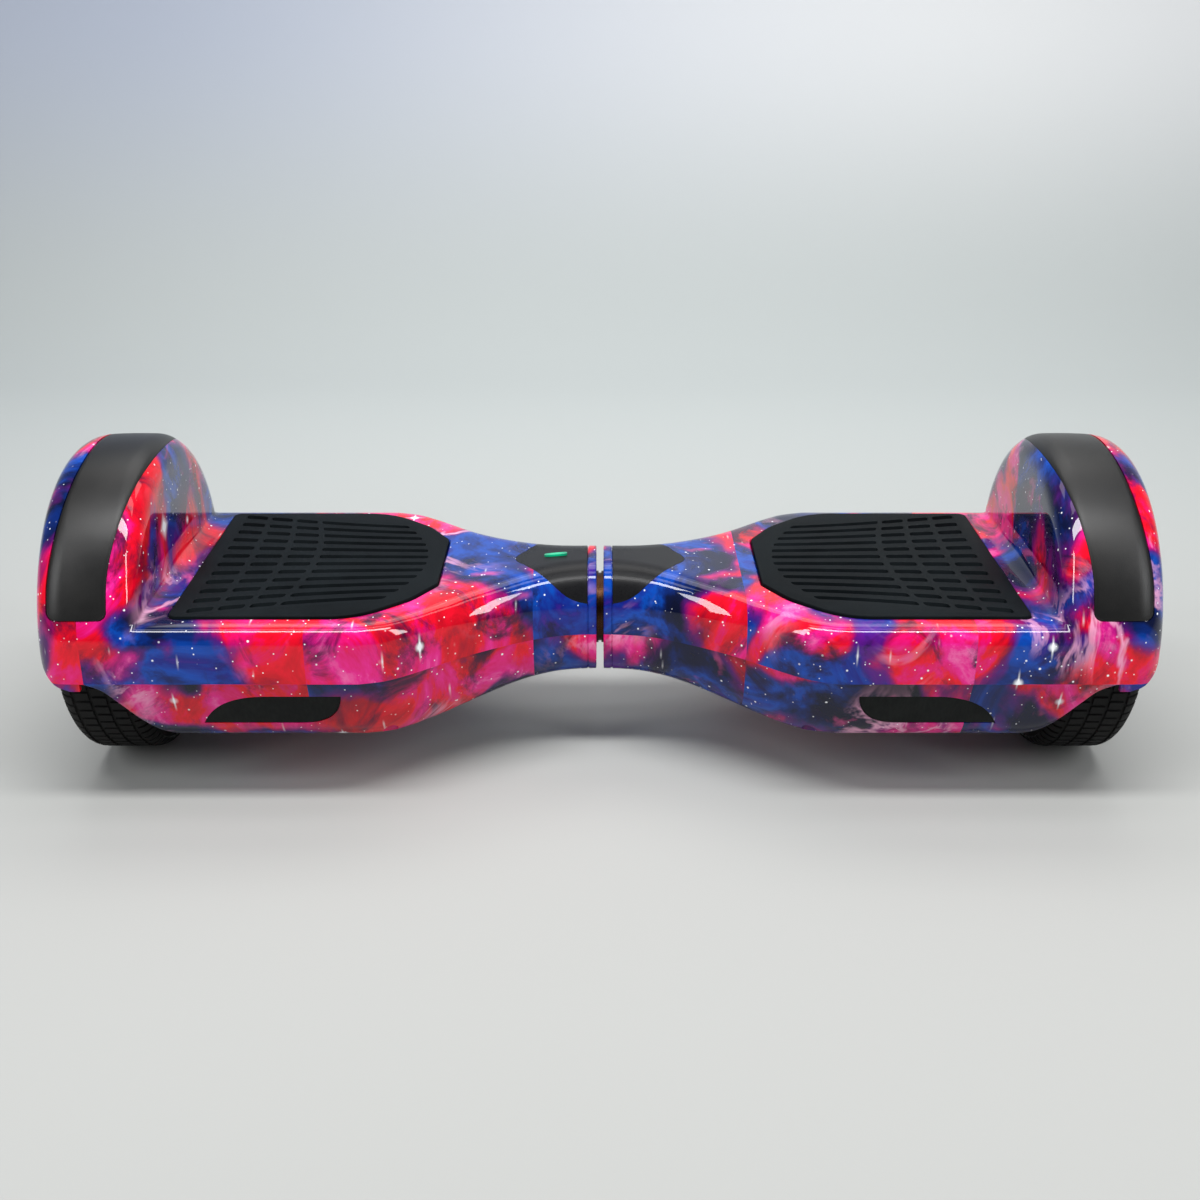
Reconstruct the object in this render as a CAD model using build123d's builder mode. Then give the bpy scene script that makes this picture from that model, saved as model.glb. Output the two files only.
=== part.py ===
from build123d import *
import os

# Self-balancing board: two half bodies that twist against each other on a hollow centre shaft, each
# with a hub-motor wheel under its fender. Millimetres, +Z up, X along the board, front faces -Y,
# origin on the floor under the centre. Side pieces are modelled at +X and mirrored for the left.

# ---- Overall sizes ----
LENGTH = 584.0
WHEEL_R = 83.0
TYRE_WIDTH = 44.0
SHELL_WALL = 3.0
TYRE_TO_FENDER = 8.5  # radial room round the tyre inside the fender
TYRE_TO_WALL = 3.0  # room beside the tyre
DECK_RISE = 23.0  # deck top over the axle line
PARTING_DROP = 8.0  # shell parting plane under the axle line
BELLY_DROP = 50.0  # underside of the deck part under the axle line
PIVOT_DROP = 4.0  # centre shaft under the axle line
MOVING_GAP = 0.4  # between pieces that move past each other
FIT = 0.05  # radial clearance of a shaft in its bearing

AXLE_Z = WHEEL_R
DECK_Z = AXLE_Z + DECK_RISE
PARTING_Z = AXLE_Z - PARTING_DROP
BELLY_Z = AXLE_Z - BELLY_DROP
PIVOT_Z = AXLE_Z - PIVOT_DROP
FENDER_R = WHEEL_R + TYRE_TO_FENDER + SHELL_WALL
DECK_HALF = FENDER_R - 1.2  # half depth of the deck at the parting plane
X_END = LENGTH / 2
FENDER_LIP = 3.5
TYRE_OUT_X = X_END - FENDER_LIP - 1.5
TYRE_IN_X = TYRE_OUT_X - TYRE_WIDTH
WELL_X = TYRE_IN_X - TYRE_TO_WALL  # wheel side of the wall between deck and wheel
DECK_END_X = WELL_X - SHELL_WALL  # deck side of that wall

# ---- Shell form ----
HALF_GAP = 2.0  # from the centre plane to each half
WAIST_HALF = 30.6  # half depth at the waist
WAIST_TOP = PIVOT_Z + 34.0
WAIST_BELLY = PIVOT_Z - 34.0
WAIST_CORNER = (23.0, 30.0)  # depth and height of the rounding over the waist
DECK_CORNER = (12.0, 12.0)
LOWER_STEP = 1.3  # the upper shell overhangs the lower one by this
BELLY_LEAN = 15.0  # how far the lower side leans in under the deck
BELLY_CORNER = (23.0, 17.0)  # at the waist, at the deck
BELLY_SIDE = (2.0, 27.0)  # straight side under the parting plane, at the waist and at the deck
FLARE_X = 125.0  # where the flare reaches the full depth
# Each station: share of the flare's length, then shares of depth, top and belly from waist to deck
FLARE = (
    (0.0, 0.0, 0.0, 0.0),
    (0.08, 0.005, 0.05, 0.01),
    (0.16, 0.025, 0.14, 0.03),
    (0.24, 0.07, 0.27, 0.08),
    (0.32, 0.14, 0.43, 0.16),
    (0.41, 0.24, 0.62, 0.30),
    (0.50, 0.35, 0.77, 0.48),
    (0.60, 0.49, 0.89, 0.68),
    (0.70, 0.655, 0.96, 0.83),
    (0.80, 0.82, 0.99, 0.93),
    (0.90, 0.945, 1.0, 0.985),
    (1.0, 1.0, 1.0, 1.0),
)
FENDER_SHOULDER = 13.0
FENDER_EDGE = 11.0
SKIRT_DROP = 4.0  # the fender reaches this far under the parting plane
SKIRT_X = X_END - 23.0
OPENING_R = WHEEL_R - 4.0  # side opening that shows the wheel
SHAFT_FLANGE_R = 27.0
AXLE_NOTCH_R = 19.0

# ---- Fender bumper ----
BUMPER_WIDTH = 31.0
BUMPER_X = X_END - 25.0
BUMPER_THICK = 2.0
BUMPER_PROUD = 0.5
BUMPER_LOW_Z = AXLE_Z + 27.0

# ---- Foot mat ----
MAT_TIP_X = 88.5
MAT_BEND_X = (101.0, 127.0)
MAT_END_X = DECK_END_X - 13.0
MAT_HALF = DECK_HALF - 14.3
MAT_BEND_Y = MAT_HALF - 24.0
MAT_TIP_Y = MAT_HALF - 45.0
MAT_RADII = (5, 5, 40, 30, 6, 6, 30, 40)
MAT_SIDE_GAP = 0.5
MAT_RECESS = 3.4
MAT_THICK = 3.0
MAT_TRAVEL = 1.5
MAT_FLOOR_Z = DECK_Z - MAT_RECESS
MAT_Z = MAT_FLOOR_Z + MAT_TRAVEL + MOVING_GAP
PLUNGER_X = (MAT_BEND_X[1] + 8, MAT_END_X - 52)
PLUNGER_SIZE = (10.0, 2.0)
PLUNGER_ROOM = 1.5

# ---- Chassis ----
CHASSIS_WALL = 6.0
CHASSIS_PLATE = 4.0
CHASSIS_TOP_Z = AXLE_Z - 1.0
CHASSIS_LOW_Z = BELLY_Z + 17.0
CHASSIS_START_X = 56.0
CHASSIS_HALF = (30.0, 66.0)  # half depth at its start and under the deck
CHASSIS_FULL_X = 100.0
CHASSIS_END_X = DECK_END_X - 34.0
PLATE_START_X = 86.0
SHAFT_BOSS_R = 23.0
AXLE_BOSS_R = 17.0
AXLE_BOSS_END_X = DECK_END_X - 4.0

# ---- Centre shaft ----
SHAFT_R = 15.0
SHAFT_BORE_R = 10.0
SHAFT_FIXED = 58.0  # length held in the left chassis
BUSH_WALL = 3.0
BUSH_LENGTH = 14.0
STOP_PIN_R = 3.0
STOP_PIN_X = 30.0
STOP_SLOT_HALF = 8.7
RING_THICK = 1.6
HARNESS_R = 9.5
HARNESS_OUT = 6.0

# ---- Hub motor and wheel ----
AXLE_R = 7.5
AXLE_IN_X = CHASSIS_END_X + 4.0
RIM_R = 66.0
RIM_WALL = 6.0
RIM_WEB = 4.0
RIM_OUT_X = TYRE_OUT_X - 3.0
COVER_THICK = 4.0
COVER_IN_X = TYRE_IN_X + 1.5
BEARING_R = 16.0
BEARING_WIDTH = 9.0
BEARING_BOSS_WALL = 4.0
MAGNET_THICK = 4.0
AIR_GAP = 1.0
STATOR_WIDTH = 14.0
STATOR_TEETH = 27
TYRE_SHOULDER = 9.0
HUB_CAP_R = 50.0
HUB_CAP_THICK = 2.5
COVER_SCREWS = 6

# ---- Headlight and status lamp ----
LAMP_X = (136.0, 206.5)
LAMP_Z = (AXLE_Z - 35.0, AXLE_Z - 18.0)
LENS_GAP = 0.3
LED_BOARD = (54.0, 12.0, 1.6)
LED_COUNT = 6
COVER_SHELL = 2.0  # thickness of the centre cover and of the recess that takes it
COVER_START_X = 7.0
COVER_TIP_X = 47.5
COVER_HALF = 29.4
COVER_LOW_Z = PIVOT_Z + 13.5
COVER_GAP = 0.25
STATUS_X = 25.0
STATUS_SIZE = (13.0, 3.0)

# ---- Electrics ----
BATTERY_X = (CHASSIS_FULL_X - 1.0, CHASSIS_END_X - CHASSIS_WALL - 1.5)
BATTERY_HALF = CHASSIS_HALF[1] - CHASSIS_WALL - 3.0
BATTERY_WRAP = 1.0
BATTERY_BASE_Z = BELLY_Z + SHELL_WALL + 2.6
BATTERY_TOP_Z = CHASSIS_TOP_Z - CHASSIS_PLATE - 0.6
CELL_R = 9.0
BRACKET_THICK = 1.5
BRACKET_WIDTH = 22.0
BOARD_THICK = 1.6
BOARD_HALF = 48.0
SOCKET_X = 140.0
BUTTON_X = 172.0
REAR_PAD_Z = AXLE_Z - 26.0
REAR_PAD_Y = DECK_HALF - 13.0
SOCKET_R = 8.0
SOCKET_BORE_R = 5.5
SOCKET_DEPTH = 9.0
SOCKET_END = 2.5
FLANGE_R = 10.5
FLANGE_THICK = 1.6
BUTTON_R = 8.0
BUTTON_TRAVEL = 1.0
BUTTON_HEIGHT = 2.4
BUTTON_BODY_R = 9.0

# ---- Fasteners ----
SCREW_R = 2.0
HEAD_R = 3.7
HEAD_HEIGHT = 2.6
SCREW_BOSS_R = 5.5
TOP_SCREWS = [(x, side * (MAT_HALF - 24.0)) for x in (MAT_BEND_X[1] - 10, MAT_END_X - 30) for side in (1, -1)]
BELLY_SCREW_Y = CHASSIS_HALF[1] - CHASSIS_WALL / 2
BELLY_SCREWS = [(x, side * BELLY_SCREW_Y) for x in (LAMP_X[0] - 13, CHASSIS_END_X - 9) for side in (1, -1)]

# ---- Places that several pieces share ----
DECK_SCREW_Z = MAT_FLOOR_Z - HEAD_HEIGHT - MOVING_GAP
SCREW_LENGTH = DECK_SCREW_Z - CHASSIS_TOP_Z + CHASSIS_PLATE
SCREW_ROOM = 0.5  # past the tip of a screw in its hole
CLAMP_SEAT = 5.0  # the clamp's screw heads over the axle line
CABLE_R = 4.0
CLAMP_SCREWS = [
    (x, side * (AXLE_BOSS_R + 3)) for x in (CHASSIS_END_X + 9, AXLE_BOSS_END_X - 7) for side in (1, -1)
]
GYRO_LIFT = 3.0
GYRO_X = (PLUNGER_X[0] - 10, PLUNGER_X[1] + 10)
GYRO_HALF = 38.0
GYRO_PADS = [(x, side * (GYRO_HALF - 4)) for x in (GYRO_X[0] + 4, GYRO_X[1] - 4) for side in (1, -1)]
GATE_TOP_Z = MAT_FLOOR_Z - SHELL_WALL - 1.0
BRACKET_SCREWS = [(sum(BATTERY_X) / 2, side * (CHASSIS_HALF[1] - 2.4)) for side in (1, -1)]
BOARD_DROP = 9.0
BOARD_POSTS = [
    (x, side * (BOARD_HALF - 4)) for x in (BATTERY_X[0] + 6, BATTERY_X[1] - 6) for side in (1, -1)
]
SPREADER_Z = (BELLY_Z + 8.0, BELLY_Z + 17.0)
BEARING_SETBACK = 0.5
OUTER_BEARING_X = RIM_OUT_X - RIM_WEB + BEARING_SETBACK - BEARING_WIDTH
INNER_BEARING_X = COVER_IN_X + 2.0
STATOR_X = (
    (INNER_BEARING_X + BEARING_WIDTH + OUTER_BEARING_X) / 2 - STATOR_WIDTH / 2,
    (INNER_BEARING_X + BEARING_WIDTH + OUTER_BEARING_X) / 2 + STATOR_WIDTH / 2,
)
CAP_EYE_R = 1.4
CAP_PIN_R = 0.6
CAP_HINGE_Y = REAR_PAD_Y + FLANGE_THICK + MOVING_GAP + 1.6
CAP_HINGE_Z = REAR_PAD_Z + FLANGE_R + 0.4

RIGHT, LEFT = 1, -1
SIDE_NAMES = {RIGHT: "right", LEFT: "left"}
AXLE_LINE = Axis((0, 0, AXLE_Z), (1, 0, 0))


def keep(built, label, side=RIGHT):
    """Labels a finished piece, mirrors it for the left half and writes it."""
    shape = built.part if side == RIGHT else built.part.mirror(Plane.YZ)
    shape.label = label
    export_step(shape, f"parts/{label}.step")


def tube(axis_z, x_low, x_high, outer, inner=0.0):
    """A round bar or tube along X at the given height."""
    with BuildPart() as made:
        with BuildSketch(Plane.YZ.offset(x_low)):
            with Locations((0, axis_z)):
                Circle(outer)
                if inner:
                    Circle(inner, mode=Mode.SUBTRACT)
        extrude(amount=x_high - x_low)
    return made.part


def round_bar(y_low, y_high, x, radius):
    """A round bar along Y in the rear pad."""
    with BuildPart() as made:
        with BuildSketch(Plane.XZ.offset(-y_high)):
            with Locations((x, REAR_PAD_Z)):
                Circle(radius)
        extrude(amount=y_high - y_low)
    return made.part


def block(low, high):
    """A box between two corners."""
    size = [b - a for a, b in zip(low, high)]
    centre = [(a + b) / 2 for a, b in zip(low, high)]
    with BuildPart() as made:
        with Locations(tuple(centre)):
            Box(*size)
    return made.part


def between(ends, share):
    """The value a share of the way from the first to the second."""
    return ends[0] + (ends[1] - ends[0]) * share


# ---- Shell sections ----
def upper_face(plane, shares, inset, low_z):
    """The upper shell's cross-section at one station, as a sketch."""
    depth, top, _ = shares
    half = between((WAIST_HALF, DECK_HALF), depth) - inset
    high = between((WAIST_TOP, DECK_Z), top) - inset
    corner_y = max(between((WAIST_CORNER[0], DECK_CORNER[0]), depth) - inset, 3)
    corner_z = max(between((WAIST_CORNER[1], DECK_CORNER[1]), depth) - inset, 3)
    with BuildSketch(plane) as section:
        with BuildLine():
            Line((half, low_z), (half, high - corner_z))
            Bezier((half, high - corner_z), (half, high), (half - corner_y, high))
            Line((half - corner_y, high), (corner_y - half, high))
            Bezier((corner_y - half, high), (-half, high), (-half, high - corner_z))
            Line((-half, high - corner_z), (-half, low_z))
            Line((-half, low_z), (half, low_z))
        make_face()
    return section.sketch


def lower_face(plane, shares, inset, high_z):
    """The lower shell's cross-section at one station, as a sketch."""
    depth, _, belly = shares
    half = between((WAIST_HALF, DECK_HALF - LOWER_STEP), depth) - inset
    low = between((WAIST_BELLY, BELLY_Z), belly) + inset
    lean = between((0.0, BELLY_LEAN), depth) * (PARTING_Z - low) / (PARTING_Z - BELLY_Z)
    side = between(BELLY_SIDE, depth)
    corner = between(BELLY_CORNER, depth) - inset / 2
    turn_y = half - lean * side / (PARTING_Z - low)
    with BuildSketch(plane) as section:
        with BuildLine():
            Line((half, high_z), (turn_y, PARTING_Z - side))
            Bezier((turn_y, PARTING_Z - side), (half - lean, low), (half - lean - corner, low))
            Line((half - lean - corner, low), (lean + corner - half, low))
            Bezier((lean + corner - half, low), (lean - half, low), (-turn_y, PARTING_Z - side))
            Line((-turn_y, PARTING_Z - side), (-half, high_z))
            Line((-half, high_z), (half, high_z))
        make_face()
    return section.sketch


def shell_form(face, inset, edge_z, start_x, end_x):
    """The solid from the waist out to end_x: ruled between the flare's stations, then straight."""
    with BuildPart() as made:
        for number, (along, *shares) in enumerate(FLARE):
            x = start_x if number == 0 else along * FLARE_X
            add(face(Plane.YZ.offset(x), shares, inset, edge_z))
        if end_x > FLARE_X:
            add(face(Plane.YZ.offset(end_x), FLARE[-1][1:], inset, edge_z))
        loft(ruled=True)
    return made.part


def fender_form(radius, x_in, x_out, shoulder, edge):
    """A solid of revolution about the wheel axis, rounded at its two rims."""
    top = AXLE_Z + radius
    with BuildPart() as made:
        with BuildSketch(Plane.XZ):
            with BuildLine():
                Line((x_in, AXLE_Z), (x_in, top - shoulder))
                RadiusArc((x_in, top - shoulder), (x_in + shoulder, top), shoulder)
                Line((x_in + shoulder, top), (x_out - edge, top))
                RadiusArc((x_out - edge, top), (x_out, top - edge), edge)
                Line((x_out, top - edge), (x_out, AXLE_Z))
                Line((x_out, AXLE_Z), (x_in, AXLE_Z))
            make_face()
        revolve(axis=AXLE_LINE)
    return made.part


def mat_face(z, grow):
    """The foot mat's outline seen from above at the given height, offset outwards by grow."""
    outline = (
        (MAT_END_X, -MAT_HALF),
        (MAT_END_X, MAT_HALF),
        (MAT_BEND_X[1], MAT_HALF),
        (MAT_BEND_X[0], MAT_BEND_Y),
        (MAT_TIP_X, MAT_TIP_Y),
        (MAT_TIP_X, -MAT_TIP_Y),
        (MAT_BEND_X[0], -MAT_BEND_Y),
        (MAT_BEND_X[1], -MAT_HALF),
    )
    with BuildSketch(Plane.XY.offset(z)) as drawn:
        with BuildLine():
            FilletPolyline(*outline, radius=MAT_RADII, close=True)
        make_face()
        if grow:
            offset(amount=grow, mode=Mode.REPLACE)
    return drawn.sketch


def centre_cover_form(low_z, grow):
    """The centre cover's outline seen from above, as a solid from the given height upwards."""
    half, tip = COVER_HALF + grow, COVER_TIP_X + grow
    start, shoulder_x = COVER_START_X - grow, COVER_START_X + 9
    bend_x, bend_y = COVER_START_X + 29 + grow, COVER_HALF * 0.66 + grow
    with BuildPart() as made:
        with BuildSketch(Plane.XY.offset(low_z)):
            with BuildLine():
                Line((start, -half), (start, half))
                Line((start, half), (shoulder_x, half))
                Spline(
                    (shoulder_x, half),
                    (bend_x, bend_y),
                    (tip, 0),
                    (bend_x, -bend_y),
                    (shoulder_x, -half),
                    tangents=((1, 0), (-1, 0)),
                )
                Line((shoulder_x, -half), (start, -half))
            make_face()
        extrude(amount=WAIST_TOP)
    return made.part


def lamp_form(grow):
    """The headlight window seen from the front, two corners sharp and two round, as a solid."""
    x_low, x_high = LAMP_X[0] - grow, LAMP_X[1] + grow
    z_low, z_high = LAMP_Z[0] - grow, LAMP_Z[1] + grow
    out, back = ((1, 0), (0.2, -1)), ((-1, 0), (-0.2, 1))
    with BuildPart() as made:
        with BuildSketch(Plane.XZ):
            with BuildLine():
                Line((x_low, z_high), (x_high - 20, z_high))
                Spline((x_high - 20, z_high), (x_high - 6, z_high - 6), (x_high, z_low), tangents=out)
                Line((x_high, z_low), (x_low + 20, z_low))
                Spline((x_low + 20, z_low), (x_low + 6, z_low + 6), (x_low, z_high), tangents=back)
            make_face()
        extrude(amount=LENGTH)
    return made.part


def status_form(room):
    """The status lamp's slot as an upright solid."""
    with BuildPart() as made:
        with BuildSketch(Plane.XY.offset(PIVOT_Z + SHAFT_FLANGE_R)):
            with Locations((STATUS_X, 0)):
                SlotOverall(STATUS_SIZE[0] + 2 * room, STATUS_SIZE[1] + 2 * room)
        extrude(amount=WAIST_TOP)
    return made.part


# ---- Casings ----
def upper_shell(side):
    """Deck and fender in one moulding, with the recesses for the mat, the bumper and the cover."""
    outer = shell_form(upper_face, 0, PARTING_Z, HALF_GAP, WELL_X + FENDER_SHOULDER)
    inner = shell_form(upper_face, SHELL_WALL, PARTING_Z - 5, HALF_GAP + SHELL_WALL, DECK_END_X)
    fender = fender_form(FENDER_R, DECK_END_X, X_END, FENDER_SHOULDER, FENDER_EDGE)
    well_r = FENDER_R - SHELL_WALL
    well = fender_form(well_r, WELL_X, X_END - FENDER_LIP, FENDER_SHOULDER - SHELL_WALL, 8)
    skirt_z = PARTING_Z - SKIRT_DROP
    bumper_low_x = BUMPER_X - BUMPER_WIDTH / 2
    bumper_bed = tube(AXLE_Z, bumper_low_x - 0.3, bumper_low_x + BUMPER_WIDTH + 0.3, FENDER_R + 5,
                      FENDER_R - BUMPER_THICK)
    bed_limit = block((0, -LENGTH, BUMPER_LOW_Z - 0.3), (LENGTH, LENGTH, LENGTH))
    cover_bed = shell_form(upper_face, COVER_SHELL + COVER_GAP, PARTING_Z, HALF_GAP, FLARE_X)
    with BuildPart() as shell:
        add(fender)
        add(block((DECK_END_X, -DECK_HALF, skirt_z), (X_END, DECK_HALF, LENGTH)), mode=Mode.INTERSECT)
        add(block((DECK_END_X, -LENGTH, 0), (SKIRT_X, LENGTH, PARTING_Z)), mode=Mode.SUBTRACT)
        add(outer)
        add(inner, mode=Mode.SUBTRACT)
        # thicker floor under the mat's recess
        add(mat_face(MAT_FLOOR_Z - SHELL_WALL, MAT_SIDE_GAP + SHELL_WALL))
        extrude(amount=SHELL_WALL + 1)
        add(mat_face(MAT_FLOOR_Z, MAT_SIDE_GAP))
        extrude(amount=MAT_RECESS + 5, mode=Mode.SUBTRACT)
        add(well, mode=Mode.SUBTRACT)
        add(tube(AXLE_Z, X_END - 2 * FENDER_LIP, X_END + 5, OPENING_R), mode=Mode.SUBTRACT)
        add(bumper_bed & bed_limit, mode=Mode.SUBTRACT)
        # end hole round the shaft and notch over the axle
        add(tube(PIVOT_Z, 0, CHASSIS_START_X, SHAFT_FLANGE_R + MOVING_GAP), mode=Mode.SUBTRACT)
        add(tube(AXLE_Z, DECK_END_X - 1, WELL_X + 1, AXLE_NOTCH_R), mode=Mode.SUBTRACT)
        notch_low = (DECK_END_X - 1, -AXLE_NOTCH_R, PARTING_Z - 9)
        add(block(notch_low, (WELL_X + 1, AXLE_NOTCH_R, AXLE_Z)), mode=Mode.SUBTRACT)
        # bed of the centre cover
        add(centre_cover_form(COVER_LOW_Z, COVER_GAP) - cover_bed, mode=Mode.SUBTRACT)
        # posts down to the chassis, with screws from above
        with BuildSketch(Plane.XY.offset(CHASSIS_TOP_Z)):
            with Locations(*TOP_SCREWS):
                Circle(SCREW_BOSS_R)
        extrude(amount=MAT_FLOOR_Z - CHASSIS_TOP_Z)
        with BuildSketch(Plane.XY.offset(CHASSIS_TOP_Z)):
            with Locations(*TOP_SCREWS):
                Circle(SCREW_R)
        extrude(amount=DECK_RISE, mode=Mode.SUBTRACT)
        with BuildSketch(Plane.XY.offset(DECK_SCREW_Z)):
            with Locations(*TOP_SCREWS):
                Circle(HEAD_R + 0.3)
        extrude(amount=HEAD_HEIGHT + 1, mode=Mode.SUBTRACT)
        # slots for the mat's plungers
        with BuildSketch(Plane.XY.offset(MAT_FLOOR_Z - 2 * SHELL_WALL)):
            with Locations(*[(x, 0) for x in PLUNGER_X]):
                Rectangle(PLUNGER_SIZE[0] + PLUNGER_ROOM, PLUNGER_SIZE[1] + PLUNGER_ROOM)
        extrude(amount=3 * SHELL_WALL, mode=Mode.SUBTRACT)
        if side == LEFT:
            add(status_form(COVER_GAP), mode=Mode.SUBTRACT)
    keep(shell, f"{SIDE_NAMES[side]}_upper_shell", side)


def belly_limit(inset):
    """The lower shell's outline from the front: a soft corner up to the fender, extruded through."""
    out_x, corner = SKIRT_X - inset, inset * 0.8
    with BuildPart() as made:
        with BuildSketch(Plane.XZ.offset(-LENGTH / 2)):
            with BuildLine():
                Line((0, BELLY_Z - 20), (DECK_END_X - 18, BELLY_Z - 20))
                Line((DECK_END_X - 18, BELLY_Z - 20), (DECK_END_X - 18, BELLY_Z + corner))
                Spline(
                    (DECK_END_X - 18, BELLY_Z + corner),
                    (DECK_END_X + 4 - corner, BELLY_Z + 12 + corner),
                    (WELL_X + 10 - corner, BELLY_Z + 25 + corner / 2),
                    (out_x - 9, PARTING_Z - 4),
                    (out_x, PARTING_Z),
                    tangents=((1, 0), (1, 0.15)),
                )
                Line((out_x, PARTING_Z), (out_x, PARTING_Z + 10))
                Line((out_x, PARTING_Z + 10), (0, PARTING_Z + 10))
                Line((0, PARTING_Z + 10), (0, BELLY_Z - 20))
            make_face()
        extrude(amount=LENGTH)
    return made.part


def lower_band(inset):
    """The lower shell's closed form, moved in by inset."""
    high_z = PARTING_Z + (5 if inset else 0)
    start_x = HALF_GAP + inset
    end_x = DECK_END_X if inset else SKIRT_X
    return shell_form(lower_face, inset, high_z, start_x, end_x) & belly_limit(inset)


def lower_shell(side):
    """Belly moulding: headlight window at the front, end wall at the wheel, screw posts inside."""
    outer = lower_band(0)
    inner = lower_band(SHELL_WALL)
    with BuildPart() as shell:
        add(outer)
        add(inner, mode=Mode.SUBTRACT)
        add(tube(AXLE_Z, WELL_X, X_END, WHEEL_R + 5), mode=Mode.SUBTRACT)
        add(tube(PIVOT_Z, 0, CHASSIS_START_X, SHAFT_FLANGE_R + MOVING_GAP), mode=Mode.SUBTRACT)
        add(tube(AXLE_Z, DECK_END_X - 1, WELL_X + 1, AXLE_NOTCH_R), mode=Mode.SUBTRACT)
        add(lamp_form(LENS_GAP), mode=Mode.SUBTRACT)
        # posts up to the chassis, with screws from below
        with BuildSketch(Plane.XY.offset(BELLY_Z + SHELL_WALL / 2)):
            with Locations(*BELLY_SCREWS):
                Circle(SCREW_BOSS_R)
        extrude(amount=CHASSIS_LOW_Z - BELLY_Z - SHELL_WALL / 2)
        with BuildSketch(Plane.XY.offset(BELLY_Z - 10)):
            with Locations(*BELLY_SCREWS):
                Circle(SCREW_R)
        extrude(amount=40, mode=Mode.SUBTRACT)
        with BuildSketch(Plane.XY.offset(BELLY_Z - 10)):
            with Locations(*BELLY_SCREWS):
                Circle(HEAD_R + 0.3)
        extrude(amount=10 + SHELL_WALL + HEAD_HEIGHT, mode=Mode.SUBTRACT)
        if side == RIGHT:
            # flat pocket in the back for the charge socket and the power button
            wall = SHELL_WALL
            low = (SOCKET_X - FLANGE_R - 5, REAR_PAD_Y, REAR_PAD_Z - FLANGE_R - 2)
            high = (BUTTON_X + FLANGE_R + 5, REAR_PAD_Y + 40, REAR_PAD_Z + FLANGE_R + 3)
            tray_low = [a - wall for a in low]
            tray_high = (high[0] + wall, REAR_PAD_Y + 6, high[2] + wall)
            add(block(tray_low, tray_high) & outer)
            add(block(low, high), mode=Mode.SUBTRACT)
            add(round_bar(REAR_PAD_Y - 2 * wall, REAR_PAD_Y + 1, SOCKET_X, SOCKET_R), mode=Mode.SUBTRACT)
            add(round_bar(REAR_PAD_Y - 2 * wall, REAR_PAD_Y + 1, BUTTON_X, BUTTON_BODY_R), mode=Mode.SUBTRACT)
    keep(shell, f"{SIDE_NAMES[side]}_lower_shell", side)


def centre_cover(side):
    """Smoked cover that saddles the waist beside the joint."""
    inner = shell_form(upper_face, COVER_SHELL, PARTING_Z, HALF_GAP, FLARE_X)
    outer = shell_form(upper_face, 0, PARTING_Z, HALF_GAP, FLARE_X)
    with BuildPart() as cover:
        add(centre_cover_form(COVER_LOW_Z + COVER_GAP, 0))
        add(outer, mode=Mode.INTERSECT)
        add(inner, mode=Mode.SUBTRACT)
        if side == LEFT:
            add(status_form(FIT), mode=Mode.SUBTRACT)
    keep(cover, f"{SIDE_NAMES[side]}_centre_cover", side)


def status_lens():
    """Light pipe of the status lamp, flush with the left centre cover."""
    outer = shell_form(upper_face, 0, PARTING_Z, HALF_GAP, FLARE_X)
    with BuildPart() as lens:
        add(status_form(0))
        add(outer, mode=Mode.INTERSECT)
    keep(lens, "status_lens", LEFT)


def fender_bumper(side):
    """Soft strip bent over the fender, with round ends and a slight crown."""
    low_x, high_x = BUMPER_X - BUMPER_WIDTH / 2, BUMPER_X + BUMPER_WIDTH / 2
    inner_z = AXLE_Z + FENDER_R - BUMPER_THICK
    outer_z = AXLE_Z + FENDER_R
    with BuildPart() as bumper:
        with BuildSketch(Plane.XZ):
            with BuildLine():
                Line((low_x, inner_z), (low_x, outer_z - 0.3))
                ThreePointArc((low_x, outer_z - 0.3), (BUMPER_X, outer_z + BUMPER_PROUD), (high_x, outer_z - 0.3))
                Line((high_x, outer_z - 0.3), (high_x, inner_z))
                Line((high_x, inner_z), (low_x, inner_z))
            make_face()
        revolve(axis=AXLE_LINE)
        add(block((0, -LENGTH, BUMPER_LOW_Z), (LENGTH, LENGTH, LENGTH)), mode=Mode.INTERSECT)
    keep(bumper, f"{SIDE_NAMES[side]}_fender_bumper", side)


def foot_mat(side):
    """Rubber tread plate that sinks when stood on, with two blades that pass into the light gates."""
    with BuildPart() as mat:
        add(mat_face(MAT_Z, 0))
        extrude(amount=MAT_THICK)
        fillet(mat.faces().sort_by(Axis.Z)[-1].edges(), 0.8)
        with BuildSketch(Plane.XY.offset(MAT_Z)):
            with Locations(*[(x, 0) for x in PLUNGER_X]):
                Rectangle(*PLUNGER_SIZE)
        extrude(amount=GATE_TOP_Z - 1.0 - MAT_Z)
    keep(mat, f"{SIDE_NAMES[side]}_foot_mat", side)


# ---- Frame of each half ----
def chassis_form(inset, start_x, end_x, low_z, high_z):
    """The chassis's outline seen from above, as a solid between two heights."""
    near, full = CHASSIS_HALF[0] - inset, CHASSIS_HALF[1] - inset
    with BuildPart() as made:
        with BuildSketch(Plane.XY.offset(low_z)):
            with BuildLine():
                Polyline(
                    (start_x, -near),
                    (CHASSIS_FULL_X, -full),
                    (end_x, -full),
                    (end_x, full),
                    (CHASSIS_FULL_X, full),
                    (start_x, near),
                    close=True,
                )
            make_face()
        extrude(amount=high_z - low_z)
    return made.part


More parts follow.
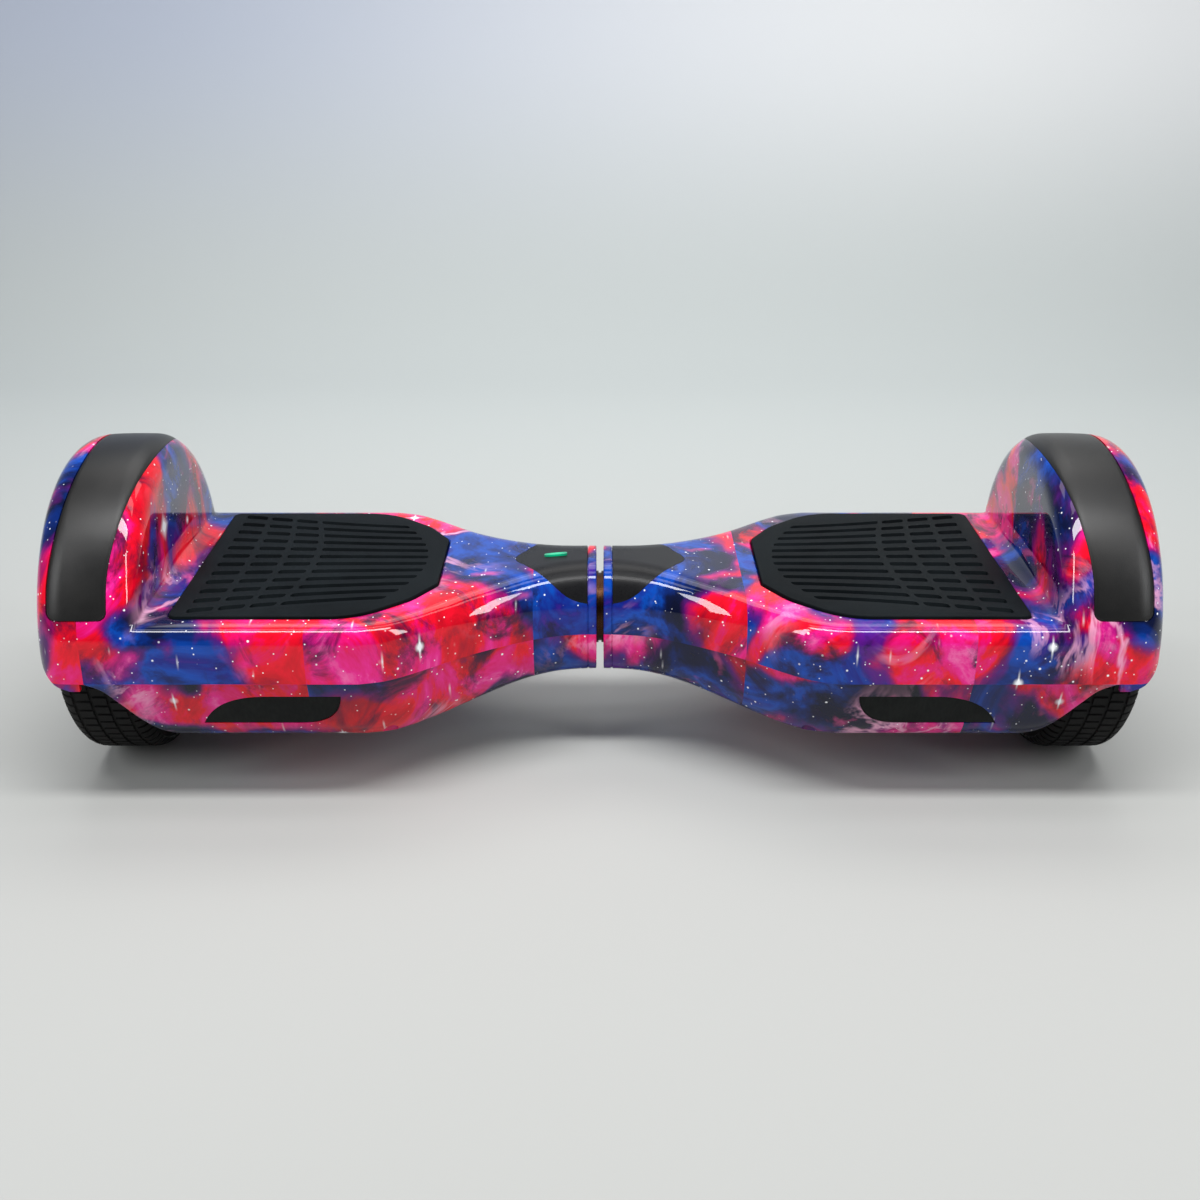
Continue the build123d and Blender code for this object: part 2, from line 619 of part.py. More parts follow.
def chassis(side):
    """Cast frame: a box open downwards, the sleeve for the centre shaft and the seat for the axle."""
    fixed = side == LEFT
    bore = SHAFT_R if fixed else SHAFT_R + FIT + BUSH_WALL
    sleeve_start = HALF_GAP if fixed else HALF_GAP + MOVING_GAP
    hollow_x = (CHASSIS_START_X + CHASSIS_WALL, CHASSIS_END_X - CHASSIS_WALL)
    hollow = chassis_form(CHASSIS_WALL, *hollow_x, CHASSIS_LOW_Z - 1, CHASSIS_TOP_Z - CHASSIS_PLATE)
    window = chassis_form(CHASSIS_WALL, *hollow_x, CHASSIS_LOW_Z, CHASSIS_TOP_Z + 1)
    window = window & block((0, -LENGTH, 0), (PLATE_START_X, LENGTH, LENGTH))
    with BuildPart() as frame:
        add(chassis_form(0, CHASSIS_START_X, CHASSIS_END_X, CHASSIS_LOW_Z, CHASSIS_TOP_Z))
        add(hollow, mode=Mode.SUBTRACT)
        add(window, mode=Mode.SUBTRACT)
        # sleeve with its end flange
        add(tube(PIVOT_Z, sleeve_start, CHASSIS_START_X + CHASSIS_WALL, SHAFT_BOSS_R))
        add(tube(PIVOT_Z, sleeve_start, sleeve_start + 4, SHAFT_FLANGE_R))
        add(tube(PIVOT_Z, 0, CHASSIS_START_X + CHASSIS_WALL + 1, bore), mode=Mode.SUBTRACT)
        # axle seat: a split block, its upper half is the clamp
        add(block((CHASSIS_END_X - 1, -AXLE_BOSS_R - 9, CHASSIS_LOW_Z), (AXLE_BOSS_END_X, AXLE_BOSS_R + 9, AXLE_Z)))
        add(tube(AXLE_Z, CHASSIS_END_X - CHASSIS_WALL - 1, AXLE_BOSS_END_X + 1, AXLE_R), mode=Mode.SUBTRACT)
        with BuildSketch(Plane.XY.offset(AXLE_Z)):
            with Locations(*CLAMP_SCREWS):
                Circle(SCREW_R)
        extrude(amount=CLAMP_SEAT - SCREW_LENGTH - SCREW_ROOM, mode=Mode.SUBTRACT)
        # threaded holes for the casing screws
        with BuildSketch(Plane.XY.offset(CHASSIS_TOP_Z)):
            with Locations(*TOP_SCREWS):
                Circle(SCREW_R)
        extrude(amount=-CHASSIS_PLATE, mode=Mode.SUBTRACT)
        with BuildSketch(Plane.XY.offset(CHASSIS_LOW_Z)):
            with Locations(*BELLY_SCREWS):
                Circle(SCREW_R)
        belly_depth = BELLY_Z + SHELL_WALL + HEAD_HEIGHT + SCREW_LENGTH - CHASSIS_LOW_Z
        extrude(amount=belly_depth + SCREW_ROOM, mode=Mode.SUBTRACT)
        # pads that carry the sensor board
        with BuildSketch(Plane.XY.offset(CHASSIS_TOP_Z)):
            with Locations(*GYRO_PADS):
                Circle(4)
        extrude(amount=GYRO_LIFT)
        if fixed:
            with BuildSketch(Plane.XY.offset(CHASSIS_LOW_Z)):
                with Locations(*BRACKET_SCREWS):
                    Circle(SCREW_R)
            extrude(amount=SCREW_LENGTH, mode=Mode.SUBTRACT)
            with BuildSketch(Plane.XY.offset(PIVOT_Z - SHAFT_BOSS_R - 1)):
                with Locations((STOP_PIN_X, 0)):
                    Circle(STOP_PIN_R)
            extrude(amount=SHAFT_BOSS_R, mode=Mode.SUBTRACT)
        else:
            slot = block((STOP_PIN_X - 4, -STOP_SLOT_HALF, PIVOT_Z - SHAFT_BOSS_R - 1),
                         (STOP_PIN_X + 4, STOP_SLOT_HALF, PIVOT_Z))
            add(slot, mode=Mode.SUBTRACT)
            with BuildSketch(Plane.XY.offset(CHASSIS_TOP_Z - CHASSIS_PLATE - BOARD_DROP)):
                with Locations(*BOARD_POSTS):
                    Circle(4)
            extrude(amount=BOARD_DROP)
    keep(frame, f"{SIDE_NAMES[side]}_chassis", side)


def axle_clamp(side):
    """Upper half of the axle seat."""
    with BuildPart() as clamp:
        with BuildSketch(Plane.YZ.offset(CHASSIS_END_X + 2)):
            with BuildLine():
                Polyline(
                    (-AXLE_BOSS_R - 9, AXLE_Z),
                    (-AXLE_BOSS_R - 9, AXLE_Z + 7),
                    (-AXLE_R - 1, AXLE_Z + 15),
                    (AXLE_R + 1, AXLE_Z + 15),
                    (AXLE_BOSS_R + 9, AXLE_Z + 7),
                    (AXLE_BOSS_R + 9, AXLE_Z),
                    close=True,
                )
            make_face()
        extrude(amount=AXLE_BOSS_END_X - CHASSIS_END_X - 2)
        add(tube(AXLE_Z, CHASSIS_END_X, AXLE_BOSS_END_X + 1, AXLE_R), mode=Mode.SUBTRACT)
        with BuildSketch(Plane.XY.offset(AXLE_Z)):
            with Locations(*CLAMP_SCREWS):
                Circle(SCREW_R)
        extrude(amount=40, mode=Mode.SUBTRACT)
        with BuildSketch(Plane.XY.offset(AXLE_Z + CLAMP_SEAT)):
            with Locations(*CLAMP_SCREWS):
                Circle(HEAD_R + 0.3)
        extrude(amount=40, mode=Mode.SUBTRACT)
    keep(clamp, f"{SIDE_NAMES[side]}_axle_clamp", side)


def screw(place, seat_z, head_up):
    """One round-headed screw that stands upright, with a hexagon recess."""
    way = 1 if head_up else -1
    with BuildPart() as made:
        with BuildSketch(Plane.XY.offset(seat_z)):
            with Locations(place):
                Circle(SCREW_R)
        extrude(amount=-way * SCREW_LENGTH)
        with BuildSketch(Plane.XY.offset(seat_z)):
            with Locations(place):
                Circle(HEAD_R)
        extrude(amount=way * HEAD_HEIGHT)
        with BuildSketch(Plane.XY.offset(seat_z + way * HEAD_HEIGHT)):
            with Locations(place):
                RegularPolygon(1.5, 6)
        extrude(amount=-way * 1.6, mode=Mode.SUBTRACT)
    return made.part


def upper_screws(side):
    """Screws that enter from above: the deck's four, under the mat, and the axle clamp's four."""
    with BuildPart() as made:
        for place in TOP_SCREWS:
            add(screw(place, DECK_SCREW_Z, True))
        for place in CLAMP_SCREWS:
            add(screw(place, AXLE_Z + CLAMP_SEAT, True))
    keep(made, f"{SIDE_NAMES[side]}_upper_screws", side)


def lower_screws(side):
    """Screws that enter from below: the belly's four and, on the left, the battery bracket's two."""
    with BuildPart() as made:
        for place in BELLY_SCREWS:
            add(screw(place, BELLY_Z + SHELL_WALL + HEAD_HEIGHT, False))
        if side == LEFT:
            for place in BRACKET_SCREWS:
                add(screw(place, CHASSIS_LOW_Z - BRACKET_THICK, False))
    keep(made, f"{SIDE_NAMES[side]}_lower_screws", side)


# ---- Wheel and hub motor ----
def axle(side):
    """Steel axle with two flats in its seat and a step at each bearing."""
    with BuildPart() as bar:
        add(tube(AXLE_Z, AXLE_IN_X, RIM_OUT_X - RIM_WEB - 1, AXLE_R - FIT))
        add(tube(AXLE_Z, AXLE_IN_X, COVER_IN_X - 3, AXLE_R))
        add(tube(AXLE_Z, STATOR_X[0] - 0.5, STATOR_X[1] + 0.5, AXLE_R + 3))
        add(tube(AXLE_Z, AXLE_IN_X - 1, AXLE_IN_X + 26, CABLE_R), mode=Mode.SUBTRACT)
        chamfer(bar.edges().filter_by(GeomType.CIRCLE).group_by(Axis.X)[-1], 0.8)
    keep(bar, f"{SIDE_NAMES[side]}_axle", side)


def stator(side):
    """Laminated core with its teeth, and the coil ends on both faces as separate solids."""
    outer = RIM_R - RIM_WALL - MAGNET_THICK - AIR_GAP
    with BuildPart() as core:
        add(tube(AXLE_Z, STATOR_X[0], STATOR_X[1], outer, AXLE_R + 3))
        with BuildSketch(Plane.YZ.offset(STATOR_X[0])):
            with Locations((0, AXLE_Z)):
                with PolarLocations(outer - 8, STATOR_TEETH):
                    Rectangle(12, 4.2)
        extrude(amount=STATOR_WIDTH, mode=Mode.SUBTRACT)
        add(tube(AXLE_Z, STATOR_X[0], STATOR_X[1], outer, outer - 1.6))
        for low in (STATOR_X[0] - 3.2, STATOR_X[1] + 0.2):
            with BuildSketch(Plane.YZ.offset(low)):
                with Locations((0, AXLE_Z)):
                    with PolarLocations(outer - 9, STATOR_TEETH, start_angle=180 / STATOR_TEETH):
                        RectangleRounded(11, 7.2, 1.5)
            extrude(amount=3)
    keep(core, f"{SIDE_NAMES[side]}_stator", side)


def tyre(side):
    """Solid rubber tyre with rounded shoulders."""
    with BuildPart() as ring:
        add(fender_form(WHEEL_R, TYRE_IN_X, TYRE_OUT_X, TYRE_SHOULDER, TYRE_SHOULDER))
        add(tube(AXLE_Z, TYRE_IN_X - 1, TYRE_OUT_X + 1, RIM_R), mode=Mode.SUBTRACT)
    keep(ring, f"{SIDE_NAMES[side]}_tyre", side)


def rim(side):
    """Wheel drum, closed on the outer side, with a boss for the outer bearing."""
    boss_r = BEARING_R + BEARING_BOSS_WALL
    inner_x = COVER_IN_X + COVER_THICK
    with BuildPart() as drum:
        add(tube(AXLE_Z, inner_x, RIM_OUT_X, RIM_R))
        add(tube(AXLE_Z, inner_x - 1, RIM_OUT_X - RIM_WEB, RIM_R - RIM_WALL), mode=Mode.SUBTRACT)
        add(tube(AXLE_Z, RIM_OUT_X - RIM_WEB - BEARING_WIDTH + 1, RIM_OUT_X, boss_r))
        add(tube(AXLE_Z, inner_x, RIM_OUT_X - RIM_WEB + 0.5, BEARING_R), mode=Mode.SUBTRACT)
        with BuildSketch(Plane.YZ.offset(inner_x)):
            with Locations((0, AXLE_Z)):
                with PolarLocations(RIM_R - RIM_WALL / 2, COVER_SCREWS):
                    Circle(1.5)
        extrude(amount=8, mode=Mode.SUBTRACT)
        fillet(drum.edges().filter_by(GeomType.CIRCLE).group_by(Axis.X)[-1], 1.5)
    keep(drum, f"{SIDE_NAMES[side]}_rim", side)


def motor_cover(side):
    """Plate that closes the drum on the inner side, with the inner bearing."""
    boss_r = BEARING_R + BEARING_BOSS_WALL
    with BuildPart() as plate:
        add(tube(AXLE_Z, COVER_IN_X, COVER_IN_X + COVER_THICK, RIM_R - 0.1))
        add(tube(AXLE_Z, COVER_IN_X, INNER_BEARING_X + BEARING_WIDTH - 1, boss_r))
        add(tube(AXLE_Z, INNER_BEARING_X, WELL_X + 60, BEARING_R), mode=Mode.SUBTRACT)
        add(tube(AXLE_Z, COVER_IN_X - 1, INNER_BEARING_X + 1, AXLE_R + 1), mode=Mode.SUBTRACT)
        with BuildSketch(Plane.YZ.offset(COVER_IN_X - 1)):
            with Locations((0, AXLE_Z)):
                with PolarLocations(RIM_R - RIM_WALL / 2, COVER_SCREWS):
                    Circle(1.5)
        extrude(amount=COVER_THICK + 2, mode=Mode.SUBTRACT)
    keep(plate, f"{SIDE_NAMES[side]}_motor_cover", side)


def wheel_small_parts(side):
    """Magnets, the two bearings, the cover's screws and the cap in the middle of the wheel."""
    name = SIDE_NAMES[side]
    magnet_x = ((STATOR_X[0] + STATOR_X[1]) / 2 - 11, (STATOR_X[0] + STATOR_X[1]) / 2 + 11)
    with BuildPart() as magnets:
        add(tube(AXLE_Z, *magnet_x, RIM_R - RIM_WALL, RIM_R - RIM_WALL - MAGNET_THICK))
    keep(magnets, f"{name}_magnet_ring", side)
    with BuildPart() as bearings:
        for x in (INNER_BEARING_X, OUTER_BEARING_X):
            add(tube(AXLE_Z, x, x + BEARING_WIDTH, BEARING_R, AXLE_R))
    keep(bearings, f"{name}_wheel_bearings", side)
    with BuildPart() as bolts:
        with BuildSketch(Plane.YZ.offset(COVER_IN_X)):
            with Locations((0, AXLE_Z)):
                with PolarLocations(RIM_R - RIM_WALL / 2, COVER_SCREWS):
                    Circle(1.5)
        extrude(amount=COVER_THICK + 8)
        with BuildSketch(Plane.YZ.offset(COVER_IN_X)):
            with Locations((0, AXLE_Z)):
                with PolarLocations(RIM_R - RIM_WALL / 2, COVER_SCREWS):
                    Circle(2.7)
        extrude(amount=-1.2)
    keep(bolts, f"{name}_cover_screws", side)
    with BuildPart() as cap:
        with BuildSketch(Plane.XZ):
            with BuildLine():
                Line((RIM_OUT_X, AXLE_Z), (RIM_OUT_X, AXLE_Z + HUB_CAP_R))
                Line((RIM_OUT_X, AXLE_Z + HUB_CAP_R), (RIM_OUT_X + 1, AXLE_Z + HUB_CAP_R))
                Spline(
                    (RIM_OUT_X + 1, AXLE_Z + HUB_CAP_R),
                    (RIM_OUT_X + HUB_CAP_THICK, AXLE_Z + HUB_CAP_R - 9),
                    (RIM_OUT_X + HUB_CAP_THICK + 0.4, AXLE_Z),
                    tangents=((1, -0.6), (0, -1)),
                )
                Line((RIM_OUT_X + HUB_CAP_THICK + 0.4, AXLE_Z), (RIM_OUT_X, AXLE_Z))
            make_face()
        revolve(axis=AXLE_LINE)
    keep(cap, f"{name}_hub_cap", side)


# ---- Centre joint ----
def centre_joint():
    """Hollow shaft held in the left chassis, its bushes in the right one, washers, ring and stop pin."""
    left_end = -(HALF_GAP + SHAFT_FIXED)
    ring_x = CHASSIS_START_X + CHASSIS_WALL + MOVING_GAP
    shaft_end = ring_x + RING_THICK + 3
    with BuildPart() as shaft:
        add(tube(PIVOT_Z, left_end, shaft_end, SHAFT_R, SHAFT_BORE_R))
        add(tube(PIVOT_Z, ring_x, ring_x + RING_THICK, SHAFT_R + 1, SHAFT_R - 1.2), mode=Mode.SUBTRACT)
        for x in (-STOP_PIN_X, STOP_PIN_X):
            with BuildSketch(Plane.XY.offset(PIVOT_Z - SHAFT_R - 1)):
                with Locations((x, 0)):
                    Circle(STOP_PIN_R)
            extrude(amount=SHAFT_R - SHAFT_BORE_R + 2, mode=Mode.SUBTRACT)
    keep(shaft, "pivot_shaft")
    with BuildPart() as ring:
        add(tube(PIVOT_Z, ring_x, ring_x + RING_THICK, SHAFT_R + 4, SHAFT_R - 1.1))
        gap_low = (ring_x - 1, -4, PIVOT_Z + 5)
        add(block(gap_low, (ring_x + RING_THICK + 1, 4, PIVOT_Z + SHAFT_R + 9)), mode=Mode.SUBTRACT)
    keep(ring, "shaft_retaining_ring")
    with BuildPart() as bushes:
        far_end = CHASSIS_START_X + CHASSIS_WALL
        for x in (HALF_GAP + MOVING_GAP, far_end - BUSH_LENGTH):
            add(tube(PIVOT_Z, x, x + BUSH_LENGTH, SHAFT_R + FIT + BUSH_WALL, SHAFT_R + FIT))
    keep(bushes, "pivot_bushes")
    with BuildPart() as washers:
        widths = (1.2, 1.6, 1.2)
        radii = (SHAFT_R + 5.5, SHAFT_R + 4.5, SHAFT_R + 5.5)
        x = -HALF_GAP
        for width, radius in zip(widths, radii):
            add(tube(PIVOT_Z, x, x + width - 0.02, radius, SHAFT_R))
            x = x + width
    keep(washers, "thrust_washers")
    with BuildPart() as pin:
        with BuildSketch(Plane.XY.offset(PIVOT_Z - SHAFT_BOSS_R)):
            with Locations((-STOP_PIN_X, 0), (STOP_PIN_X, 0)):
                Circle(STOP_PIN_R)
        extrude(amount=SHAFT_BOSS_R - SHAFT_BORE_R - 0.3)
    keep(pin, "shaft_pins")
    with BuildPart() as harness:
        add(tube(PIVOT_Z, left_end - HARNESS_OUT, shaft_end + HARNESS_OUT, HARNESS_R))
    keep(harness, "pivot_harness")


# ---- Lamps and electronics ----
def headlight(side):
    """Smoked lens in the front window and the strip of lamps behind it."""
    name = SIDE_NAMES[side]
    outer = lower_band(0)
    inner = lower_band(SHELL_WALL)
    with BuildPart() as lens:
        add(lamp_form(0))
        add(outer, mode=Mode.INTERSECT)
        add(inner, mode=Mode.SUBTRACT)
    keep(lens, f"{name}_headlight_lens", side)
    length, height, thick = LED_BOARD
    centre_x, centre_z = sum(LAMP_X) / 2, sum(LAMP_Z) / 2
    wall_y = -CHASSIS_HALF[1] - 0.3
    with BuildPart() as board:
        add(block((centre_x - length / 2, wall_y - thick, centre_z - height / 2),
                  (centre_x + length / 2, wall_y, centre_z + height / 2)))
        pitch = length / LED_COUNT
        for number in range(LED_COUNT):
            x = centre_x + (number - (LED_COUNT - 1) / 2) * pitch
            add(block((x - 2, wall_y - thick - 1.2, centre_z - 2), (x + 2, wall_y - thick, centre_z + 2)))
    keep(board, f"{name}_headlight_board", side)


def gyro_board(side):
    """Sensor board on the chassis with two forked light gates under the mat's blades."""
    board_z = CHASSIS_TOP_Z + GYRO_LIFT
    top_z = board_z + BOARD_THICK
    with BuildPart() as board:
        add(block((GYRO_X[0], -GYRO_HALF, board_z), (GYRO_X[1], GYRO_HALF, top_z)))
        centre = (GYRO_X[0] + GYRO_X[1]) / 2
        add(block((centre - 5, 16, top_z), (centre + 5, 26, top_z + 2)))
        add(block((centre - 9, -34, top_z), (centre + 9, -26, top_z + 7)))
        for x in PLUNGER_X:
            gate = block((x - 6.5, -5.5, top_z), (x + 6.5, 5.5, GATE_TOP_Z))
            gate -= block((x - 7, -PLUNGER_SIZE[1] / 2 - 0.8, top_z + 2), (x + 7, PLUNGER_SIZE[1] / 2 + 0.8, DECK_Z))
            add(gate)
    keep(board, f"{SIDE_NAMES[side]}_gyro_board", side)


def motor_cable(side):
    """Phase and sensor leads from the axle's bore to the centre, clipped along the chassis."""
    lane_y = GYRO_HALF + 7
    lane_z = CHASSIS_TOP_Z + CABLE_R + 0.6
    with BuildPart() as cable:
        with BuildLine() as route:
            FilletPolyline(
                (AXLE_IN_X + 6, 0, AXLE_Z),
                (AXLE_IN_X - 1, 0, AXLE_Z),
                (AXLE_IN_X - 12, 0, lane_z),
                (AXLE_IN_X - 20, lane_y, lane_z),
                (PLATE_START_X + 8, lane_y, lane_z),
                (PLATE_START_X - 12, 22, lane_z),
                radius=(12, 9, 12, 16),
            )
        with BuildSketch(Plane(origin=route.line @ 0, z_dir=route.line % 0)):
            Circle(CABLE_R - 0.3)
        sweep()
    keep(cable, f"{SIDE_NAMES[side]}_motor_cable", side)


def battery():
    """Lithium pack hung under the left chassis: cells, their wrap and the bracket with its screws."""
    low = (BATTERY_X[0], -BATTERY_HALF, BATTERY_BASE_Z)
    high = (BATTERY_X[1], BATTERY_HALF, BATTERY_TOP_Z)
    with BuildPart() as wrap:
        add(block(low, high))
        fillet(wrap.edges().filter_by(Axis.X), BATTERY_WRAP)
        core_low = [value + BATTERY_WRAP for value in low]
        core_high = [value - BATTERY_WRAP for value in high]
        add(block(core_low, core_high), mode=Mode.SUBTRACT)
    keep(wrap, "battery_wrap", LEFT)
    pitch = 2 * CELL_R + 0.2
    columns = int((BATTERY_X[1] - BATTERY_X[0] - 2 * BATTERY_WRAP) // pitch)
    rows = int((BATTERY_TOP_Z - BATTERY_BASE_Z - 2 * BATTERY_WRAP) // pitch)
    centre_x = sum(BATTERY_X) / 2
    cell_length = BATTERY_HALF - BATTERY_WRAP - 0.6
    with BuildPart() as cells:
        for row in range(rows):
            z = BATTERY_BASE_Z + BATTERY_WRAP + 0.1 + CELL_R + row * pitch
            for column in range(columns):
                x = centre_x + (column - (columns - 1) / 2) * pitch
                for end in (1, -1):
                    with BuildSketch(Plane.XZ.offset(end * 0.3)):
                        with Locations((x, z)):
                            Circle(CELL_R)
                    extrude(amount=end * cell_length)
    keep(cells, "battery_cells", LEFT)
    inner_y = BATTERY_HALF + 0.3
    outer_y = inner_y + BRACKET_THICK
    base_z = BATTERY_BASE_Z - 0.3
    centre = (BATTERY_X[0] + BATTERY_X[1]) / 2
    flange_y = CHASSIS_HALF[1]
    foot_z = CHASSIS_LOW_Z - BRACKET_THICK
    with BuildPart() as strap:
        with BuildSketch(Plane.YZ.offset(centre - BRACKET_WIDTH / 2)):
            with BuildLine():
                Polyline(
                    (-flange_y, CHASSIS_LOW_Z),
                    (-inner_y, CHASSIS_LOW_Z),
                    (-inner_y, base_z),
                    (inner_y, base_z),
                    (inner_y, CHASSIS_LOW_Z),
                    (flange_y, CHASSIS_LOW_Z),
                    (flange_y, foot_z),
                    (outer_y, foot_z),
                    (outer_y, base_z - BRACKET_THICK),
                    (-outer_y, base_z - BRACKET_THICK),
                    (-outer_y, foot_z),
                    (-flange_y, foot_z),
                    close=True,
                )
            make_face()
        extrude(amount=BRACKET_WIDTH)
        with BuildSketch(Plane.XY.offset(CHASSIS_LOW_Z)):
            with Locations(*BRACKET_SCREWS):
                Circle(SCREW_R)
        extrude(amount=-5, mode=Mode.SUBTRACT)
    keep(strap, "battery_bracket", LEFT)


def control_board():
    """Drive electronics under the right chassis, with their heat spreader."""
    board_z = CHASSIS_TOP_Z - CHASSIS_PLATE - BOARD_DROP - BOARD_THICK
    x_low, x_high = BATTERY_X[0] + 2, BATTERY_X[1] - 2
    with BuildPart() as board:
        add(block((x_low, -BOARD_HALF, board_z), (x_high, BOARD_HALF, board_z + BOARD_THICK)))
        for number in range(6):
            x = x_low + 9 + number * (x_high - x_low - 18) / 5
            for end in (1, -1):
                y = end * (BOARD_HALF - 10)
                add(block((x - 5, y - 2.5, SPREADER_Z[1]), (x + 5, y + 2.5, board_z)))
        for end in (1, -1):
            with BuildSketch(Plane.XY.offset(board_z)):
                with Locations(((x_low + x_high) / 2, end * 14)):
                    Circle(8)
            extrude(amount=-8)
    keep(board, "main_control_board")
    with BuildPart() as spreader:
        add(block((x_low + 2, -BOARD_HALF, SPREADER_Z[0]), (x_high - 2, BOARD_HALF, SPREADER_Z[1])))
        with BuildSketch(Plane.XY.offset(SPREADER_Z[0])):
            with GridLocations(0, 8, 1, int(2 * BOARD_HALF // 8) - 1):
                with Locations(((x_low + x_high) / 2, 0)):
                    Rectangle(x_high - x_low - 14, 4)
        extrude(amount=3.5, mode=Mode.SUBTRACT)
    keep(spreader, "heat_spreader")


def rear_controls():
    """Charge socket with its hinged cap, and the power button in its switch body."""
    face = Plane.XZ.offset(-REAR_PAD_Y)
    with BuildPart() as socket:
        with BuildSketch(face):
            with Locations((SOCKET_X, REAR_PAD_Z)):
                Circle(SOCKET_R - 0.05)
        extrude(amount=SOCKET_DEPTH + SOCKET_END)
        with BuildSketch(face):
            with Locations((SOCKET_X, REAR_PAD_Z)):
                Circle(FLANGE_R)
        extrude(amount=-FLANGE_THICK)
        with BuildSketch(Plane.XZ.offset(-REAR_PAD_Y - FLANGE_THICK)):
            with Locations((SOCKET_X, REAR_PAD_Z)):
                Circle(SOCKET_BORE_R)
        extrude(amount=SOCKET_DEPTH + FLANGE_THICK, mode=Mode.SUBTRACT)
        add(x_bar(SOCKET_X - 7, SOCKET_X + 7, CAP_HINGE_Y, CAP_HINGE_Z, CAP_PIN_R))
        for x in (SOCKET_X - 7, SOCKET_X + 4.4):
            ear_low = (x, REAR_PAD_Y, CAP_HINGE_Z - CAP_EYE_R)
            add(block(ear_low, (x + 2.6, CAP_HINGE_Y + CAP_EYE_R, CAP_HINGE_Z + CAP_EYE_R)))
    keep(socket, "charge_socket")
    cap_y = REAR_PAD_Y + FLANGE_THICK + MOVING_GAP
    with BuildPart() as cap:
        with BuildSketch(Plane.XZ.offset(-cap_y)):
            with Locations((SOCKET_X, REAR_PAD_Z)):
                Circle(FLANGE_R - 1)
            with Locations((SOCKET_X, REAR_PAD_Z + FLANGE_R / 2)):
                Rectangle(8, FLANGE_R)
        extrude(amount=-1.6)
        add(x_bar(SOCKET_X - 4, SOCKET_X + 4, CAP_HINGE_Y, CAP_HINGE_Z, CAP_EYE_R))
        add(x_bar(SOCKET_X - 5, SOCKET_X + 5, CAP_HINGE_Y, CAP_HINGE_Z, CAP_PIN_R + FIT), mode=Mode.SUBTRACT)
    keep(cap, "charge_cap")
    with BuildPart() as switch:
        with BuildSketch(face):
            with Locations((BUTTON_X, REAR_PAD_Z)):
                Circle(BUTTON_BODY_R - 0.05)
        extrude(amount=12)
        with BuildSketch(face):
            with Locations((BUTTON_X, REAR_PAD_Z)):
                Circle(FLANGE_R)
        extrude(amount=-FLANGE_THICK)
        with BuildSketch(Plane.XZ.offset(-REAR_PAD_Y - FLANGE_THICK)):
            with Locations((BUTTON_X, REAR_PAD_Z)):
                Circle(BUTTON_R)
        extrude(amount=FLANGE_THICK + 5, mode=Mode.SUBTRACT)
    keep(switch, "power_switch")
    button_in_y = REAR_PAD_Y - 5 + BUTTON_TRAVEL + MOVING_GAP
    with BuildPart() as button:
        with BuildSketch(Plane.XZ.offset(-button_in_y)):
            with Locations((BUTTON_X, REAR_PAD_Z)):
                Circle(BUTTON_R - 0.3)
        extrude(amount=-(REAR_PAD_Y + FLANGE_THICK + BUTTON_HEIGHT - button_in_y))
        fillet(button.faces().sort_by(Axis.Y)[-1].edges(), 0.8)
    keep(button, "power_button")


def x_bar(x_low, x_high, y, z, radius):
    """A thin round bar along X."""
    with BuildPart() as made:
        with BuildSketch(Plane.YZ.offset(x_low)):
            with Locations((y, z)):
                Circle(radius)
        extrude(amount=x_high - x_low)
    return made.part


def main():
    os.makedirs("parts", exist_ok=True)
    for side in (LEFT, RIGHT):
        name = SIDE_NAMES[side]
        upper_shell(side)
        lower_shell(side)
        centre_cover(side)
        fender_bumper(side)
        foot_mat(side)
        chassis(side)
        axle_clamp(side)
        upper_screws(side)
        lower_screws(side)
        axle(side)
        stator(side)
        tyre(side)
        rim(side)
        motor_cover(side)
        wheel_small_parts(side)
        headlight(side)
        gyro_board(side)
        motor_cable(side)
    status_lens()
    battery()
    centre_joint()
    control_board()
    rear_controls()


main()
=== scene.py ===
"""Self-balancing board: two printed half shells on a centre shaft, each with a wheel under its fender.

Lengths inside the classes are millimetres, with +Z up, X along the board and the front facing -Y.
Meshes are written in metres.
"""

import logging
import math
from dataclasses import dataclass, field
from enum import Enum
from typing import Callable, Iterable, Sequence

import bmesh
import bpy
import numpy as np
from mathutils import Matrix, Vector

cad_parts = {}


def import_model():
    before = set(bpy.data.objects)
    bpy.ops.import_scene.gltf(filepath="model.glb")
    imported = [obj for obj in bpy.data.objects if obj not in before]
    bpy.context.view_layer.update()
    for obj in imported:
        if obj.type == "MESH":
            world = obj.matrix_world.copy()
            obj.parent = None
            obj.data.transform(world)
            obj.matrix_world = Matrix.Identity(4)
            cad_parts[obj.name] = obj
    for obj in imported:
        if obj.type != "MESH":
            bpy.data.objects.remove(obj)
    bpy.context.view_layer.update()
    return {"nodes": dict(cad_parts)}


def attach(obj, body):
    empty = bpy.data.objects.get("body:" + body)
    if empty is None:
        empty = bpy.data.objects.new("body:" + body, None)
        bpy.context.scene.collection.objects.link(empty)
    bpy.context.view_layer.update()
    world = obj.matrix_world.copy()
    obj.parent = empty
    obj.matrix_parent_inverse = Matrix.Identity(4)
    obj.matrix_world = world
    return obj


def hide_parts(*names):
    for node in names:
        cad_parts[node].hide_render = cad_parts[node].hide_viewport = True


log = logging.getLogger("board")
MM = 0.001
Point = tuple[float, float, float]
Flat = tuple[float, float]


class Side(Enum):
    """The two halves of the board."""

    LEFT = -1
    RIGHT = 1

    @property
    def label(self) -> str:
        """The word that names of this half start with."""
        return self.name.lower()


class Cut(Enum):
    """How one closed mesh is combined with another."""

    LESS = "DIFFERENCE"
    BOTH = "UNION"
    SHARED = "INTERSECT"


# ---------------------------------------------------------------- meshes


